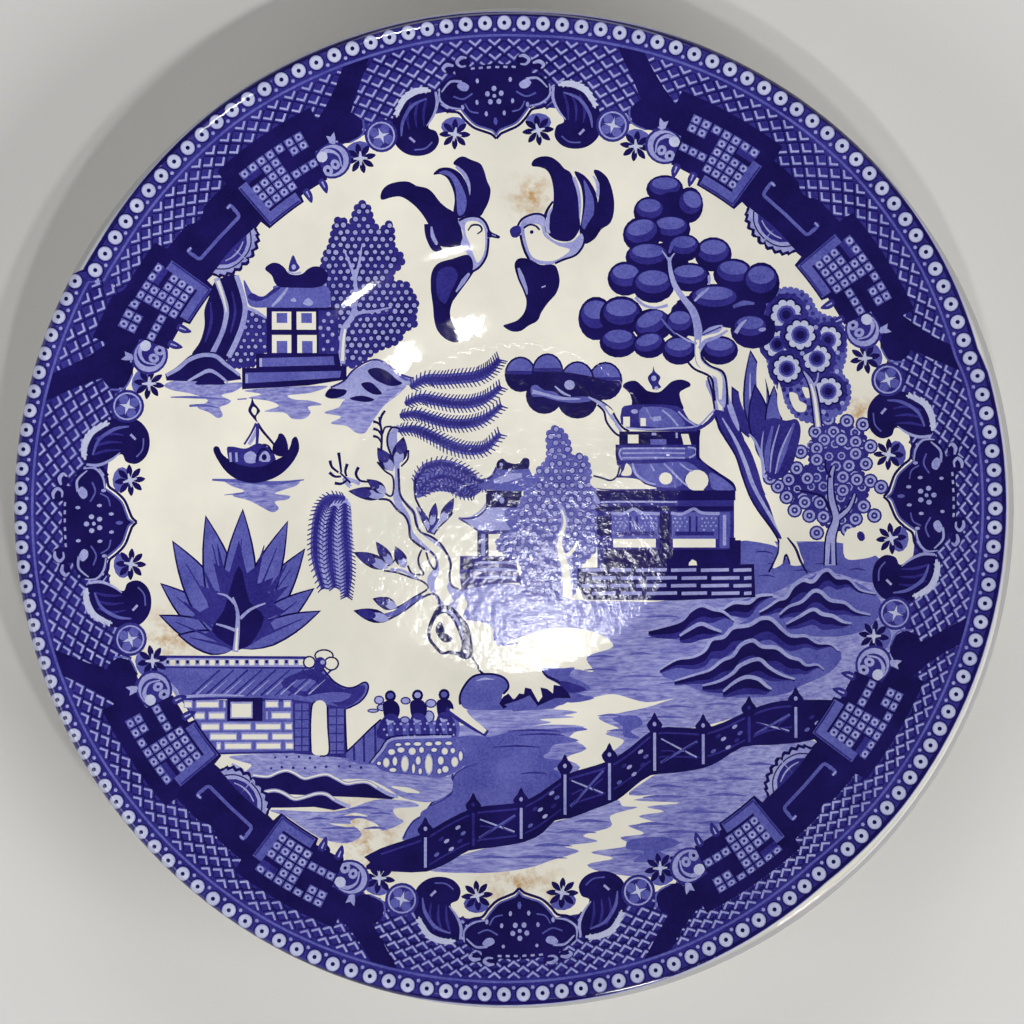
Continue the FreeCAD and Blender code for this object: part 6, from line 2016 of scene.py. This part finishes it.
def lay_stains_and_lip_shade(tree, where, colour):
    """Lays ragged tan stains over a colour, and painted shade over the lip: a grey for the dark that the
    turned-out rim faces.
    """
    flat = vector_math(tree, "MULTIPLY", where, (1.0, 1.0, 0.0)).outputs["Vector"]
    ragged = node(tree, "ShaderNodeTexNoise", Scale=420.0, Detail=5.0, Roughness=0.7)
    tree.links.new(where, ragged.inputs["Vector"])
    torn = node(tree, "ShaderNodeMapRange", From_Min=0.44, From_Max=0.66)
    tree.links.new(ragged.outputs["Fac"], torn.inputs["Value"])
    for x, y, reach in STAINS:
        away = vector_math(tree, "DISTANCE", flat, (x * MM, y * MM, 0.0))
        near = node(tree, "ShaderNodeMapRange", From_Max=reach * MM, To_Min=1.1, To_Max=0.0)
        tree.links.new(away.outputs["Value"], near.inputs["Value"])
        patchy = tree.nodes.new("ShaderNodeMath")
        patchy.operation = "MULTIPLY"
        tree.links.new(near.outputs["Result"], patchy.inputs[0])
        tree.links.new(torn.outputs["Result"], patchy.inputs[1])
        colour = laid_over(tree, colour, STAIN_TAN, patchy.outputs["Value"])
    # Painted shade: grey laid over the lip's colour, growing towards the edge.
    radius = vector_math(tree, "LENGTH", flat)
    edge = node(tree, "ShaderNodeMapRange", From_Min=SHADE_FROM * MM, From_Max=SHADE_TO * MM,
                To_Max=LIP_PAINTED_SHADE_SHARE)
    tree.links.new(radius.outputs["Value"], edge.inputs["Value"])
    return laid_over(tree, colour, LIP_PAINTED_SHADE, edge.outputs["Result"])


def plain_material(name, roughness, colour=None):
    """A material and its shader."""
    material = bpy.data.materials.new(name)
    material.use_nodes = True
    shader = material.node_tree.nodes["Principled BSDF"]
    shader.inputs["Roughness"].default_value = roughness
    if colour is not None:
        shader.inputs["Base Color"].default_value = (*colour, 1)
    return material, shader


def china(name, pale, deep, patch, grain=0.0, streaks=False, stains_and_lip_shade=False):
    """Glossy glaze. Its colour drifts between two in soft patches and fine grains."""
    material, shader = plain_material(name, GLAZE_ROUGHNESS)
    tree = material.node_tree
    shader.inputs["IOR"].default_value = GLAZE_IOR
    where = tree.nodes.new("ShaderNodeTexCoord")
    patches = node(tree, "ShaderNodeTexNoise", Scale=1000 / patch, Detail=4.0, Roughness=0.6)
    tree.links.new(where.outputs["Object"], patches.inputs["Vector"])
    ramp = tree.nodes.new("ShaderNodeValToRGB")
    for stop, position, tint in zip(ramp.color_ramp.elements, (0.36, 0.66), (deep, pale)):
        stop.position = position
        stop.color = (*tint, 1)
    drive = patches.outputs["Fac"]
    if grain:
        stretch = node(tree, "ShaderNodeMapping", Scale=(0.16, 1.0, 1.0) if streaks else (1.0, 1.0, 1.0))
        tree.links.new(where.outputs["Object"], stretch.inputs["Vector"])
        specks = node(tree, "ShaderNodeTexNoise", Scale=2600.0, Detail=3.0, Roughness=0.7)
        tree.links.new(stretch.outputs["Vector"], specks.inputs["Vector"])
        blend = node(tree, "ShaderNodeMix", Factor=grain)
        tree.links.new(drive, blend.inputs[2])
        tree.links.new(specks.outputs["Fac"], blend.inputs[3])
        drive = blend.outputs[0]
    tree.links.new(drive, ramp.inputs["Fac"])
    colour = ramp.outputs["Color"]
    # Real stains, and painted shade over the lip.
    if stains_and_lip_shade:
        colour = lay_stains_and_lip_shade(tree, where.outputs["Object"], colour)
    tree.links.new(colour, shader.inputs["Base Color"])
    ripple = node(tree, "ShaderNodeTexNoise", Scale=700.0, Detail=3.0)
    tree.links.new(where.outputs["Object"], ripple.inputs["Vector"])
    bump = node(tree, "ShaderNodeBump", Strength=0.02, Distance=0.0006)
    tree.links.new(ripple.outputs["Fac"], bump.inputs["Height"])
    tree.links.new(bump.outputs["Normal"], shader.inputs["Normal"])
    return material


# Each ink: pale colour, deep colour, width of its patches, strength of its grain, if that runs in streaks.
INKS = {
    NAVY: ((0.010, 0.005, 0.105), (0.003, 0.001, 0.050), 7.0, 0.35, False),
    COBALT: ((0.040, 0.034, 0.25), (0.012, 0.008, 0.135), 7.0, 0.5, False),
    BLUE: ((0.135, 0.14, 0.45), (0.052, 0.054, 0.29), 6.0, 0.55, False),
    SKY: ((0.40, 0.41, 0.68), (0.20, 0.21, 0.50), 5.0, 0.5, False),
    MIST: ((0.56, 0.58, 0.74), (0.40, 0.42, 0.62), 5.0, 0.5, False),
    WATER: ((0.38, 0.39, 0.67), (0.105, 0.105, 0.39), 8.0, 0.7, True),
}


def make_plate():
    """The printed face, one piece for each tone, then the turned glaze and clay."""
    # The white glaze takes the stains and the lip's painted shade.
    white = china("white_glaze_finish", (0.80, 0.765, 0.66), (0.68, 0.655, 0.57), 22.0, stains_and_lip_shade=True)
    draw_all()
    points, triangles = cut_face()
    tones = tones_of(points, triangles)
    ground = slab("china_face", points, triangles[tones == PAPER], white)
    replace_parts(ground, "outer_glaze")
    for tone, finish in INKS.items():
        material = china(f"ink_{tone}", *finish)
        piece = slab(f"print_{tone}", points, triangles[tones == tone], material)
        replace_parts(piece, "outer_glaze")
    rows = half_profile(TURNED_STEPS)
    coat = glazed(rows)
    lip = crossing(coat, 0, PRINT_EDGE)
    lip[:2] -= GLAZE * lip[2:]
    lip_at = int(np.flatnonzero(coat[:, 0] > PRINT_EDGE)[0])
    outer_foot = crossing(rows[lip_at:], 1, WIPED)
    bare = np.flatnonzero(rows[:, 1] < WIPED)
    outer_at, inner_at = int(bare[0]), int(bare[-1])
    inner_foot = crossing(rows[inner_at:], 1, WIPED)
    back = np.vstack((lip, rows[lip_at:outer_at], outer_foot))
    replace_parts(turned("glazed_back", back, white), "outer_glaze")
    recess = np.vstack((inner_foot, rows[inner_at + 1:]))
    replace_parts(turned("glazed_recess", recess, white), "base_glaze")
    clay, _ = plain_material("bare_clay", 0.75, (0.66, 0.6, 0.5))
    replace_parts(turned("clay_body", rows, clay, shell=False), "china_body")


# ---------------------------------------------------------------- studio
# Soft lamps round the plate, two small ones for the streaks and one for the glint: place, size, power.
LAMPS = {
    "main": ((1.54, -0.89, 1.11), 1.2, 28),
    "back": ((0.0, 1.78, 1.11), 1.2, 14),
    "side": ((-1.54, -0.89, 1.11), 1.2, 15),
    "key": ((0.213, -0.853, 1.8), 0.09, 6.5),
    "fill": ((0.517, -0.711, 1.8), 0.09, 6.0),
    "glint": ((0.009, -0.043, 3.2), 0.03, 0.17),
}
FLOOR_HALF = 1.2
VIEW_WIDTH = 0.15375  # what the camera takes in across, in metres,
VIEW_HEIGHT = 0.0165  # at this height
VIEW_OFFSET = (-0.00027, -0.00056)


def make_floor():
    mesh = bpy.data.meshes.new("studio_floor")
    corners = [(x * FLOOR_HALF, y * FLOOR_HALF, 0) for x, y in ((-1, -1), (1, -1), (1, 1), (-1, 1))]
    mesh.from_pydata(corners, [], [(0, 1, 2, 3)])
    floor = bpy.data.objects.new("studio_floor", mesh)
    material, _ = plain_material("studio_floor", 0.9, (0.62, 0.61, 0.59))
    mesh.materials.append(material)
    bpy.context.scene.collection.objects.link(floor)


def lamp(name, place, size, power):
    """A soft square light that points at the middle of the plate."""
    light = bpy.data.lights.new(name, "AREA")
    light.size = size
    light.energy = power
    body = bpy.data.objects.new(name, light)
    body.location = place
    body.rotation_euler = (-Vector(place)).to_track_quat("-Z", "Y").to_euler()
    bpy.context.scene.collection.objects.link(body)


def make_lights():
    world = bpy.data.worlds.new("studio")
    world.use_nodes = True
    sky = world.node_tree.nodes["Background"]
    sky.inputs["Color"].default_value = (0.9, 0.92, 0.96, 1)
    sky.inputs["Strength"].default_value = 0.14
    bpy.context.scene.world = world
    for name, values in LAMPS.items():
        lamp(name, *values)


def make_camera():
    camera = bpy.data.cameras.new("camera")
    camera.sensor_width = 36.0
    camera.lens = 600.0
    camera.clip_end = 10.0
    reach = VIEW_WIDTH * camera.lens / camera.sensor_width
    body = bpy.data.objects.new("camera", camera)
    body.location = (*VIEW_OFFSET, VIEW_HEIGHT + reach)
    bpy.context.scene.collection.objects.link(body)
    bpy.context.scene.camera = body


bpy.context.scene.view_settings.view_transform = "Standard"
make_plate()
make_floor()
make_lights()
make_camera()
